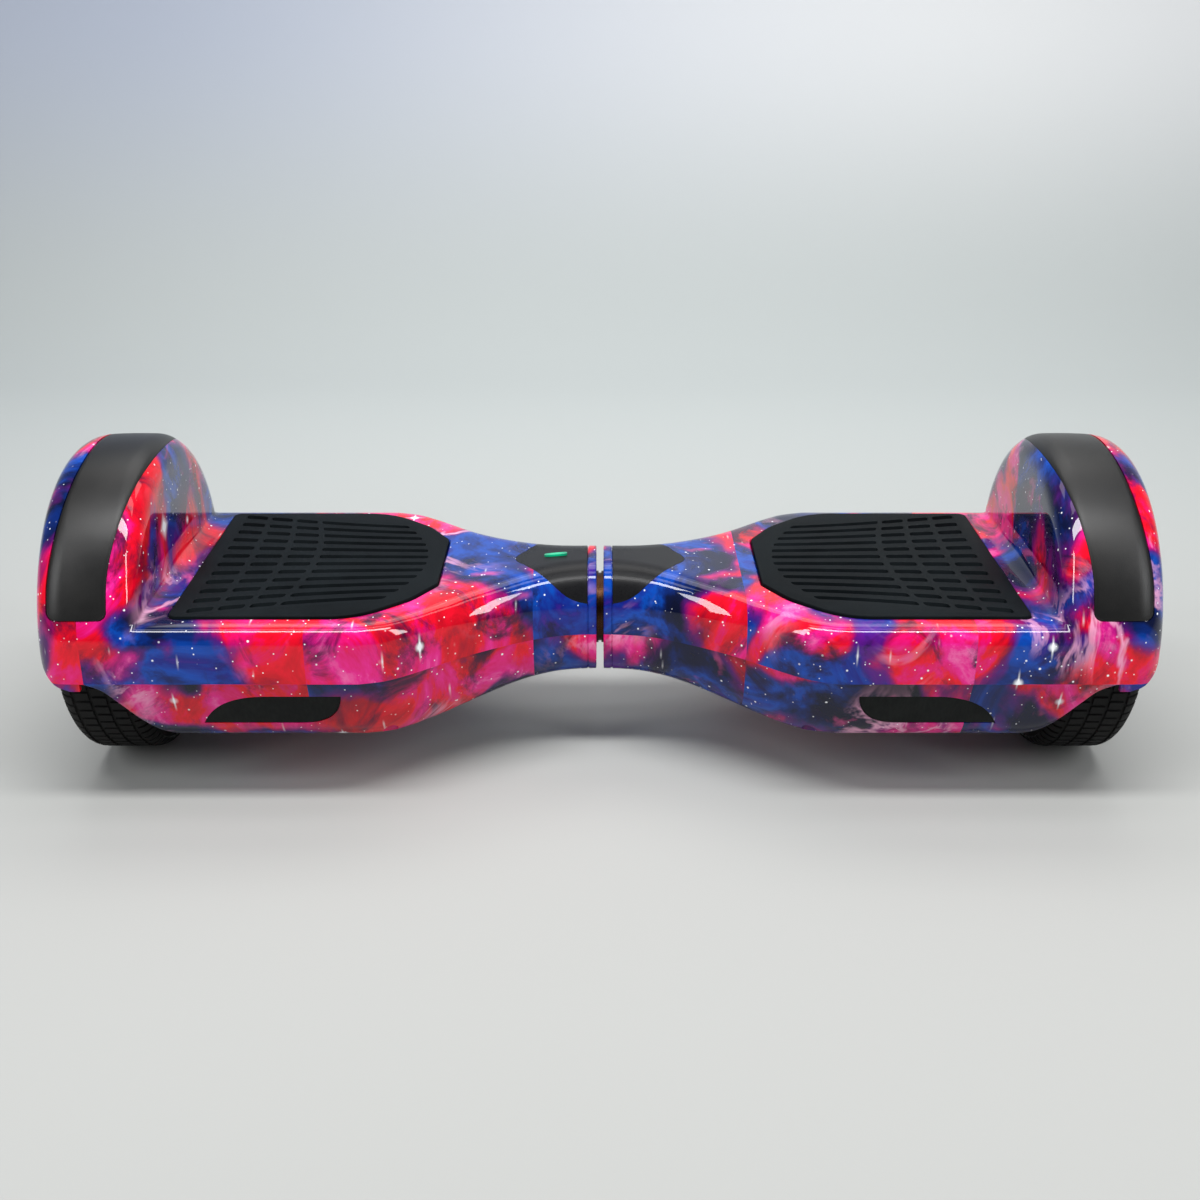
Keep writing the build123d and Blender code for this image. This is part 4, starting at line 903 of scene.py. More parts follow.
@dataclass(frozen=True)
class Finish:
    """A plain finish: two tones, a range of roughness and a fine relief."""

    name: str
    colour: tuple[float, float, float]
    tone: tuple[float, float, float]
    rough: Flat
    metal: float = 0.0
    grain: float = 900.0
    relief: float = 0.00002
    patch: float = 22.0
    coat: float = 0.0
    coat_rough: float = 0.1
    stretch: Point = (1.0, 1.0, 1.0)
    specular: float = 0.5

    def material(self) -> bpy.types.Material:
        """Builds the finish's material.

        Returns:
            The new material.
        """
        ink = Ink(self.name)
        patches = ink.noise(self.patch, 6.0, 0.6, 0.3)
        grain = ink.noise(self.grain, 3.0, 0.6, 0.0, ink.moved(scale=self.stretch))
        both = ink.math("ADD", ink.math("MULTIPLY", patches, 0.65), ink.math("MULTIPLY", grain, 0.35))
        ink.set(
            Base_Color=ink.mix(ink.fade(both, 0.35, 0.65), self.colour, self.tone),
            Roughness=ink.fade(both, 0.3, 0.7, *self.rough),
            Metallic=self.metal,
            Coat_Weight=self.coat,
            Coat_Roughness=self.coat_rough,
            Specular_IOR_Level=self.specular,
            Normal=ink.relief(grain, self.relief),
        )
        return ink.material


@dataclass(frozen=True)
class Glow:
    """The status lamp's green light pipe."""

    name: str = "status_glow"
    colour: tuple[float, float, float] = (0.0, 0.36, 0.17)
    power: float = 0.55

    def material(self) -> bpy.types.Material:
        """Builds the lamp's material, brightest in the middle of the pipe.

        Returns:
            The new material.
        """
        ink = Ink(self.name)
        offset = ink.vector("SUBTRACT", ink.coords, (-0.025, 0.0, 0.1115))
        away = ink.add("ShaderNodeVectorMath", {0: offset}, operation="LENGTH").outputs[1]
        glow = ink.fade(away, 0.001, 0.0075, 1.0, 0.35)
        ink.set(
            Base_Color=ink.mix(glow, (0.0, 0.05, 0.03), self.colour),
            Roughness=0.25,
            Emission_Color=ink.mix(glow, (0.0, 0.12, 0.06), self.colour),
            Emission_Strength=self.power,
            Coat_Weight=0.5,
        )
        return ink.material


@dataclass(frozen=True)
class SpacePrint:
    """Film print of coloured clouds and stars under a deep clear coat."""

    name: str = "space_print"
    seed: Point = (5.37, 0.4, 2.9)
    patch_scale: float = 12.5
    warm: tuple[tuple[float, tuple[float, float, float]], ...] = (
        (0.0, (0.030, 0.0005, 0.022)),
        (0.18, (0.20, 0.0005, 0.022)),
        (0.36, (0.58, 0.001, 0.012)),
        (0.52, (0.80, 0.002, 0.020)),
        (0.62, (0.72, 0.002, 0.12)),
        (0.78, (0.80, 0.014, 0.26)),
        (1.0, (0.90, 0.24, 0.50)),
    )
    cool: tuple[tuple[float, tuple[float, float, float]], ...] = (
        (0.0, (0.0006, 0.0015, 0.010)),
        (0.34, (0.0006, 0.004, 0.034)),
        (0.50, (0.0006, 0.018, 0.15)),
        (0.64, (0.001, 0.058, 0.38)),
        (0.80, (0.006, 0.012, 0.20)),
        (1.0, (0.12, 0.004, 0.26)),
    )

    def material(self) -> bpy.types.Material:
        """Builds the print: warm and cool clouds, pale wisps, dark dust, specks and flared stars.

        Returns:
            The new material.
        """
        ink = Ink(self.name)
        base = ink.vector("ADD", ink.moved(place=self.seed, scale=(1.0, 0.85, 0.8)), self.panels(ink))
        patch = ink.noise(self.patch_scale, 3.0, 0.45, 0.5, base)
        warm_tone = ink.noise(19.0, 6.0, 0.60, 0.9, base)
        warm = ink.ramp(ink.fade(warm_tone, 0.22, 0.78), self.warm)
        cool_tone = ink.noise(16.0, 6.0, 0.58, 0.7, ink.vector("ADD", base, (8.2, 4.4, 2.9)))
        cool = ink.ramp(ink.fade(cool_tone, 0.24, 0.76), self.cool)
        ragged = ink.math("ADD", patch, ink.math("MULTIPLY", ink.math("SUBTRACT", warm_tone, 0.5), 0.22))
        colour = ink.mix(ink.fade(ragged, 0.490, 0.514), cool, warm)
        seam = ink.math("MULTIPLY", ink.fade(ragged, 0.458, 0.502), ink.fade(ragged, 0.502, 0.544, 1.0, 0.0))
        colour = ink.mix(ink.math("MULTIPLY", seam, 0.7), colour, (0.11, 0.002, 0.15))
        dust = ink.fade(ink.noise(26.0, 7.0, 0.66, 1.0, base), 0.50, 0.66)
        colour = ink.mix(ink.math("MULTIPLY", dust, 0.9), colour, (0.006, 0.002, 0.030))
        ridge = ink.math("ABSOLUTE", ink.math("SUBTRACT", ink.noise(15.0, 5.0, 0.6, 1.2, base), 0.5))
        wisp = ink.fade(ridge, 0.0, 0.05, 1.0, 0.0)
        zone = ink.fade(ink.noise(13.0, 2.0, 0.5, 0.2, ink.moved(place=(7.3, 2.2, 5.0))), 0.52, 0.70)
        glow = ink.math("MULTIPLY", ink.math("MULTIPLY", wisp, zone), 0.85)
        colour = ink.mix(glow, colour, (0.90, 0.42, 0.62))
        bloom = ink.fade(ink.noise(24.0, 4.0, 0.6, 0.6, ink.moved(place=(1.3, 9.2, 4.0))), 0.62, 0.78)
        colour = ink.mix(ink.math("MULTIPLY", bloom, 0.65), colour, (0.88, 0.10, 0.34))
        colour = ink.mix(self.stars(ink), colour, (0.96, 0.97, 1.0))
        skin = ink.noise(55.0, 2.0, 0.5)
        ink.set(
            Base_Color=colour,
            Roughness=0.45,
            Specular_IOR_Level=0.02,
            Coat_Weight=1.0,
            Coat_IOR=1.42,
            Coat_Roughness=0.02,
            Normal=ink.relief(skin, 0.00004, 0.5),
        )
        return ink.material

    def panels(self, ink: Ink) -> bpy.types.NodeSocket:
        """A jump in the print at each film panel's edge and at the parting line.

        Args:
            ink: The material that the nodes join.

        Returns:
            An offset for the print's coordinates.
        """
        split = ink.add("ShaderNodeSeparateXYZ", {0: ink.coords}).outputs
        across = ink.math("FLOOR", ink.math("ADD", ink.math("MULTIPLY", split[0], 8.7), 0.32))
        above = ink.math("GREATER_THAN", split[2], 0.0752)
        lift = ink.math("ADD", ink.math("MULTIPLY", across, 0.61), ink.math("MULTIPLY", above, 1.37))
        return ink.add("ShaderNodeCombineXYZ", {0: lift, 1: ink.math("MULTIPLY", across, 0.23), 2: lift}).outputs[0]

    def stars(self, ink: Ink) -> bpy.types.NodeSocket:
        """Brightness of the stars: two sizes of specks and a few with crossed flares.

        Args:
            ink: The material that the nodes join.

        Returns:
            A socket from 0, no star, to 1.
        """
        parts = []
        for cells, radius, keep in ((230.0, 0.00055, 0.50), (125.0, 0.00085, 0.42)):
            cell = ink.add("ShaderNodeTexVoronoi", {"Vector": ink.coords, "Scale": cells, "Randomness": 1.0})
            lit = ink.fade(cell.outputs["Color"], keep, keep + 0.25, 1.0, 0.0)
            spot = ink.fade(cell.outputs["Distance"], radius * cells * 0.4, radius * cells, 1.0, 0.0)
            parts.append(ink.math("MULTIPLY", spot, lit))
        cells = 31.0
        big = ink.add("ShaderNodeTexVoronoi", {"Vector": ink.coords, "Scale": cells, "Randomness": 1.0})
        away = ink.vector("SUBTRACT", ink.coords, big.outputs["Position"])
        away = ink.vector("ABSOLUTE", away)
        split = ink.add("ShaderNodeSeparateXYZ", {0: away}).outputs
        rest = ink.math("ADD", split[1], split[2])
        across = ink.math("MULTIPLY", ink.fade(rest, 0.0, 0.0009, 1.0, 0.0),
                          ink.fade(split[0], 0.0, 0.0078, 1.0, 0.0))
        upright = ink.math("MULTIPLY", ink.fade(split[0], 0.0, 0.0008, 1.0, 0.0),
                           ink.fade(rest, 0.0, 0.0100, 1.0, 0.0))
        reach = ink.add("ShaderNodeVectorMath", {0: away}, operation="LENGTH").outputs[1]
        core = ink.fade(reach, 0.0006, 0.0034, 1.0, 0.0)
        parts += [across, upright, core]
        total = parts[0]
        for part in parts[1:]:
            total = ink.math("ADD", total, part, clamp=True)
        return total


class Palette:
    """Every finish of the board, made once and shared."""

    FINISHES = (
        SpacePrint(),
        Glow(),
        Finish("bumper_soft_touch", (0.006, 0.006, 0.006), (0.012, 0.0115, 0.011), (0.32, 0.40), grain=2600.0,
               relief=0.00006, specular=0.32),
        Finish("mat_tread_rubber", (0.003, 0.0042, 0.005), (0.007, 0.0095, 0.011), (0.44, 0.56), grain=1800.0,
               relief=0.00004, specular=0.035),
        Finish("satin_smoke", (0.006, 0.006, 0.007), (0.012, 0.012, 0.013), (0.24, 0.34), grain=1500.0,
               relief=0.00001, coat=0.06, coat_rough=0.18, specular=0.12),
        Finish("smoked_window", (0.007, 0.008, 0.008), (0.014, 0.016, 0.015), (0.30, 0.42), grain=700.0,
               relief=0.00002, coat=0.0, coat_rough=0.2, stretch=(1.0, 1.0, 0.12), specular=0.08),
        Finish("tyre_compound", (0.005, 0.005, 0.0055), (0.014, 0.0135, 0.013), (0.50, 0.70), grain=1300.0,
               relief=0.00008, specular=0.10),
        Finish("cast_alloy", (0.30, 0.31, 0.33), (0.42, 0.43, 0.45), (0.42, 0.60), 1.0, grain=700.0, relief=0.0001),
        Finish("black_cast_frame", (0.030, 0.031, 0.034), (0.055, 0.056, 0.060), (0.45, 0.62), 0.6, grain=600.0,
               relief=0.0001),
        Finish("machined_steel", (0.50, 0.50, 0.51), (0.62, 0.62, 0.63), (0.22, 0.36), 1.0, grain=1200.0,
               stretch=(0.05, 1.0, 1.0)),
        Finish("wheel_alloy", (0.42, 0.43, 0.45), (0.56, 0.57, 0.59), (0.28, 0.42), 1.0, grain=900.0),
        Finish("cap_grain", (0.018, 0.018, 0.020), (0.034, 0.034, 0.037), (0.40, 0.55), grain=2200.0, relief=0.00005),
        Finish("dark_bronze", (0.045, 0.022, 0.012), (0.11, 0.05, 0.024), (0.30, 0.48), 1.0, grain=1100.0),
        Finish("board_mask", (0.008, 0.075, 0.030), (0.014, 0.12, 0.05), (0.28, 0.42), grain=500.0),
        Finish("cable_jacket", (0.012, 0.012, 0.012), (0.024, 0.024, 0.024), (0.40, 0.55), grain=900.0),
        Finish("shrink_film", (0.012, 0.06, 0.26), (0.02, 0.09, 0.34), (0.20, 0.32), grain=160.0, relief=0.0001),
        Finish("copper_core", (0.34, 0.15, 0.07), (0.48, 0.24, 0.12), (0.32, 0.5), 1.0, grain=1400.0,
               stretch=(3.0, 0.6, 0.6)),
        Finish("button_satin", (0.05, 0.05, 0.055), (0.08, 0.08, 0.085), (0.34, 0.46), grain=1700.0),
    )
    # Each node's finish, by the end of its name
    NODES = {
        "status_lens": "status_glow", "battery_wrap": "shrink_film", "battery_cells": "machined_steel",
        "battery_bracket": "cast_alloy", "pivot_shaft": "machined_steel", "shaft_retaining_ring": "machined_steel",
        "pivot_bushes": "dark_bronze", "thrust_washers": "dark_bronze", "shaft_pins": "machined_steel",
        "pivot_harness": "cable_jacket", "main_control_board": "board_mask", "heat_spreader": "cast_alloy",
        "charge_socket": "machined_steel", "charge_cap": "cap_grain", "power_switch": "machined_steel",
        "power_button": "button_satin", "chassis": "black_cast_frame", "axle_clamp": "black_cast_frame",
        "screws": "machined_steel", "axle": "machined_steel", "stator": "copper_core", "rim": "wheel_alloy",
        "motor_cover": "wheel_alloy", "magnet_ring": "machined_steel", "wheel_bearings": "machined_steel",
        "hub_cap": "cap_grain", "headlight_board": "board_mask", "gyro_board": "board_mask",
        "motor_cable": "cable_jacket",
    }

    def __init__(self) -> None:
        """Builds the materials."""
        self.materials = {finish.name: finish.material() for finish in self.FINISHES}

    def paint(self, made: bpy.types.Object, name: str) -> bpy.types.Object:
        """Gives an object one finish.

        Args:
            made: The object.
            name: The finish's name.

        Returns:
            The same object.
        """
        made.data.materials.clear()
        made.data.materials.append(self.materials[name])
        return made

    def dress_frame(self, nodes: dict[str, bpy.types.Object]) -> None:
        """Gives each carried-over node its finish by its name.

        Args:
            nodes: The nodes by name.
        """
        for name, made in nodes.items():
            match = max((end for end in self.NODES if name.endswith(end)), key=len, default="chassis")
            self.paint(made, self.NODES[match])


# ---------------------------------------------------------------- repeated shapes


class Growth(NodeWork):
    """A geometry node tree with named inputs that is turned into a plain mesh."""

    def __init__(self, name: str, inputs: dict[str, str]) -> None:
        """Starts a tree.

        Args:
            name: The tree's name.
            inputs: The socket type of each named input.
        """
        self.tree = bpy.data.node_groups.new(name, "GeometryNodeTree")
        for label, kind in inputs.items():
            self.tree.interface.new_socket(name=label, in_out="INPUT", socket_type=kind)
        self.tree.interface.new_socket(name="Geometry", in_out="OUTPUT", socket_type="NodeSocketGeometry")
        self.given = self.tree.nodes.new("NodeGroupInput").outputs
        self.end = self.tree.nodes.new("NodeGroupOutput")

    def join_xyz(self, x: object, y: object, z: object) -> bpy.types.NodeSocket:
        """A vector from three values."""
        return self.add("ShaderNodeCombineXYZ", {0: x, 1: y, 2: z}).outputs[0]

    def place(self) -> Sequence[bpy.types.NodeSocket]:
        """The three coordinates of each point."""
        position = self.add("GeometryNodeInputPosition").outputs[0]
        return self.add("ShaderNodeSeparateXYZ", {0: position}).outputs

    def close(self, geometry: bpy.types.NodeSocket, target: bpy.types.NodeSocket) -> None:
        """Ends the tree: the points' final place, then their finish.

        Args:
            geometry: The grown geometry.
            target: Where each point goes.
        """
        shaped = self.add("GeometryNodeSetPosition", {"Geometry": geometry, "Position": target}).outputs[0]
        solid = self.add("GeometryNodeRealizeInstances", {0: shaped}).outputs[0]
        painted = self.add("GeometryNodeSetMaterial", {"Geometry": solid, "Material": self.given["Finish"]})
        self.tree.links.new(painted.outputs[0], self.end.inputs[0])

    def grow(self, name: str, values: dict[str, object]) -> bpy.types.Object:
        """Runs the tree on an empty object and keeps its result as a plain mesh.

        Args:
            name: The object's name.
            values: A value for each named input.

        Returns:
            The finished object.
        """
        made = bpy.data.objects.new(name, bpy.data.meshes.new(name))
        bpy.context.scene.collection.objects.link(made)
        step = made.modifiers.new("growth", "NODES")
        step.node_group = self.tree
        for socket in self.tree.interface.items_tree:
            if socket.in_out == "INPUT":
                step[socket.identifier] = values[socket.name]
        return Workbench.bake(made)


def stamp(name: str, length: float, width: float, low: float, high: float, taper: float, parts: int,
          round_ends: bool) -> bpy.types.Object:
    """A small block or groove form about the origin, long in X, in millimetres.

    Args:
        name: The object's name.
        length: Size along X.
        width: Size along Y at its wide face.
        low: Lower face.
        high: Upper face.
        taper: How much the upper face is drawn in on each side; a negative value draws in the lower one.
        parts: Pieces along X, so that it can bend.
        round_ends: Whether its two ends are rounded in plan.

    Returns:
        The closed form.
    """
    loops = []
    ends = [(-1, 0.45), (-0.72, 0.85)] if round_ends else [(-1, 1.0)]
    cap = width / 2 if round_ends else 0.0
    body = [(-length / 2 + cap + (length - 2 * cap) * k / parts, 1.0) for k in range(parts + 1)]
    start = [(-length / 2 + cap * (1 + s), w) for s, w in ends] if round_ends else []
    stops = start + body + [(-x, w) for x, w in reversed(start)]
    for x, share in stops:
        half = width / 2 * share
        upper, lower = half - max(0.0, taper) * share, half + min(0.0, taper) * share
        reach = 1 - max(0.0, taper) * 2 / length
        loops.append([(x, -lower, low), (x, lower, low), (x * reach, upper, high), (x * reach, -upper, high)])
    return Workbench.loft(name, loops)


@dataclass
class TreadPattern:
    """Tread blocks bent round the tyre and over its shoulders."""

    columns: int = 5
    rows: int = 77
    column_pitch: float = 9.0
    block: tuple[float, float, float] = (7.9, 5.5, 1.0)
    base_r: float = 82.0
    half_flat: float = 13.0
    shoulder: float = 8.0
    growth: Growth = field(init=False)

    def __post_init__(self) -> None:
        """Builds the tree once."""
        kinds = {
            "Columns": "NodeSocketInt", "Rows": "NodeSocketInt", "Column pitch": "NodeSocketFloat",
            "Row pitch": "NodeSocketFloat", "Base radius": "NodeSocketFloat", "Half flat": "NodeSocketFloat",
            "Shoulder": "NodeSocketFloat", "Centre X": "NodeSocketFloat", "Axle height": "NodeSocketFloat",
            "Block": "NodeSocketObject", "Finish": "NodeSocketMaterial",
        }
        grow = self.growth = Growth("tyre_tread", kinds)
        given = grow.given
        size_x = grow.math("MULTIPLY", grow.math("SUBTRACT", given["Columns"], 1.0), given["Column pitch"])
        size_y = grow.math("MULTIPLY", grow.math("SUBTRACT", given["Rows"], 1.0), given["Row pitch"])
        grid = grow.add("GeometryNodeMeshGrid", {
            "Size X": size_x, "Size Y": size_y, "Vertices X": given["Columns"], "Vertices Y": given["Rows"]})
        x, y, _ = grow.place()
        column = grow.math("ROUND", grow.math("DIVIDE", grow.math("ADD", x, grow.math("MULTIPLY", size_x, 0.5)),
                                              given["Column pitch"]))
        odd = grow.math("MODULO", column, 2.0)
        shift = grow.math("MULTIPLY", grow.math("MULTIPLY", odd, 0.5), given["Row pitch"])
        staggered = grow.add("GeometryNodeSetPosition", {
            "Geometry": grid.outputs["Mesh"], "Offset": grow.join_xyz(0.0, shift, 0.0)}).outputs[0]
        block = grow.add("GeometryNodeObjectInfo", {"Object": given["Block"]})
        placed = grow.add("GeometryNodeInstanceOnPoints", {
            "Points": staggered, "Instance": block.outputs["Geometry"]}).outputs[0]
        solid = grow.add("GeometryNodeRealizeInstances", {0: placed}).outputs[0]
        across, along, height = grow.place()
        size = grow.math("ABSOLUTE", across)
        turn = grow.math("DIVIDE", grow.math("MAXIMUM", grow.math("SUBTRACT", size, given["Half flat"]), 0.0),
                         given["Shoulder"])
        arm = grow.math("ADD", given["Shoulder"], height)
        reach = grow.math("ADD", grow.math("MINIMUM", size, given["Half flat"]),
                          grow.math("MULTIPLY", arm, grow.math("SINE", turn)))
        new_x = grow.math("ADD", given["Centre X"], grow.math("MULTIPLY", grow.math("SIGN", across), reach))
        radius = grow.math("ADD", grow.math("SUBTRACT", given["Base radius"], given["Shoulder"]),
                           grow.math("MULTIPLY", arm, grow.math("COSINE", turn)))
        spin = grow.math("DIVIDE", along, given["Base radius"])
        new_y = grow.math("MULTIPLY", radius, grow.math("SINE", spin))
        new_z = grow.math("ADD", given["Axle height"], grow.math("MULTIPLY", radius, grow.math("COSINE", spin)))
        grow.close(solid, grow.join_xyz(new_x, new_y, new_z))

    def tread(self, name: str, centre_x: float, finish: bpy.types.Material) -> bpy.types.Object:
        """The blocks of one tyre.

        Args:
            name: The object's name.
            centre_x: Middle of the tyre along X.
            finish: The tyre's material.

        Returns:
            The blocks as one plain mesh.
        """
        length, width, height = self.block
        block = stamp("tread_block", length, width, -0.5, height, 0.35, 4, False)
        made = self.growth.grow(name, {
            "Columns": self.columns, "Rows": self.rows, "Column pitch": self.column_pitch * MM,
            "Row pitch": 2 * math.pi * self.base_r / self.rows * MM, "Base radius": self.base_r * MM,
            "Half flat": self.half_flat * MM, "Shoulder": self.shoulder * MM, "Centre X": centre_x * MM,
            "Axle height": FORM.axle_z * MM, "Block": block, "Finish": finish,
        })
        bpy.data.objects.remove(block)
        return made


@dataclass
class GroovePattern:
    """Cutters of the mat's grooves: long ones near the joint, then three columns of dashes, all fanned."""

    rows: int = 12
    pitch: float = 9.9
    columns: int = 3
    column_pitch: float = 18.4
    long_x: float = 128.5
    dash_x: float = 188.8
    long_size: float = 62.0
    dash_size: float = 15.2
    width: float = 4.9
    depth: float = 1.7
    start_x: float = 98.0
    reach: float = 120.0
    fan: float = 0.34
    bow: float = 17.0
    growth: Growth = field(init=False)

    def __post_init__(self) -> None:
        """Builds the tree once."""
        kinds = {
            "Rows": "NodeSocketInt", "Pitch": "NodeSocketFloat", "Columns": "NodeSocketInt",
            "Column pitch": "NodeSocketFloat", "Long X": "NodeSocketFloat", "Dash X": "NodeSocketFloat",
            "Level": "NodeSocketFloat", "Start X": "NodeSocketFloat", "Reach": "NodeSocketFloat",
            "Fan": "NodeSocketFloat", "Bow": "NodeSocketFloat", "Long form": "NodeSocketObject",
            "Dash form": "NodeSocketObject", "Finish": "NodeSocketMaterial",
        }
        grow = self.growth = Growth("mat_grooves", kinds)
        given = grow.given
        span = grow.math("MULTIPLY", grow.math("SUBTRACT", given["Rows"], 1.0), given["Pitch"])
        width = grow.math("MULTIPLY", grow.math("SUBTRACT", given["Columns"], 1.0), given["Column pitch"])
        strips = []
        for label, columns, size_x, middle in (("Long form", 1, 0.0, given["Long X"]),
                                               ("Dash form", given["Columns"], width, given["Dash X"])):
            grid = grow.add("GeometryNodeMeshGrid", {
                "Size X": size_x, "Size Y": span, "Vertices X": columns, "Vertices Y": given["Rows"]})
            if columns == 1:
                grid = grow.add("GeometryNodeMeshLine", {
                    "Count": given["Rows"],
                    "Start Location": grow.join_xyz(0.0, grow.math("MULTIPLY", span, -0.5), 0.0),
                    "Offset": grow.join_xyz(0.0, given["Pitch"], 0.0)}, mode="OFFSET")
            form = grow.add("GeometryNodeObjectInfo", {"Object": given[label]})
            placed = grow.add("GeometryNodeInstanceOnPoints", {
                "Points": grid.outputs["Mesh"], "Instance": form.outputs["Geometry"]}).outputs[0]
            solid = grow.add("GeometryNodeRealizeInstances", {0: placed}).outputs[0]
            moved = grow.add("GeometryNodeSetPosition", {
                "Geometry": solid, "Offset": grow.join_xyz(middle, 0.0, given["Level"])}).outputs[0]
            strips.append(moved)
        both = grow.add("GeometryNodeJoinGeometry")
        for strip in strips:
            grow.tree.links.new(strip, both.inputs[0])
        x, y, z = grow.place()
        along = grow.math("DIVIDE", grow.math("SUBTRACT", x, given["Start X"]), given["Reach"])
        share = grow.math("MAXIMUM", along, 0.0)
        spread = grow.math("ADD", 1.0, grow.math("MULTIPLY", given["Fan"], grow.math("POWER", share, 1.3)))
        ratio = grow.math("DIVIDE", y, grow.math("MULTIPLY", span, 0.5))
        square = grow.math("MULTIPLY", ratio, ratio)
        inner = grow.math("MULTIPLY", grow.math("MULTIPLY", square, given["Bow"]),
                          grow.math("SUBTRACT", 1.0, grow.math("MINIMUM", share, 1.0)))
        grow.close(both.outputs[0], grow.join_xyz(grow.math("ADD", x, inner), grow.math("MULTIPLY", y, spread), z))

    def cutters(self, name: str, level: float, finish: bpy.types.Material) -> bpy.types.Object:
        """The grooves' forms, ready to be cut from a mat.

        Args:
            name: The object's name.
            level: Height of the mat's upper face.
            finish: The material of the cut faces.

        Returns:
            The forms as one plain mesh.
        """
        long_form = stamp("long_groove", self.long_size, self.width, -self.depth, 0.4, -0.9, 12, True)
        dash_form = stamp("dash_groove", self.dash_size, self.width, -self.depth, 0.4, -0.9, 4, True)
        made = self.growth.grow(name, {
            "Rows": self.rows, "Pitch": self.pitch * MM, "Columns": self.columns,
            "Column pitch": self.column_pitch * MM, "Long X": self.long_x * MM, "Dash X": self.dash_x * MM,
            "Level": level * MM, "Start X": self.start_x * MM, "Reach": self.reach * MM, "Fan": self.fan,
            "Bow": self.bow * MM, "Long form": long_form, "Dash form": dash_form, "Finish": finish,
        })
        for form in (long_form, dash_form):
            bpy.data.objects.remove(form)
        return made


# ---------------------------------------------------------------- sub-assemblies


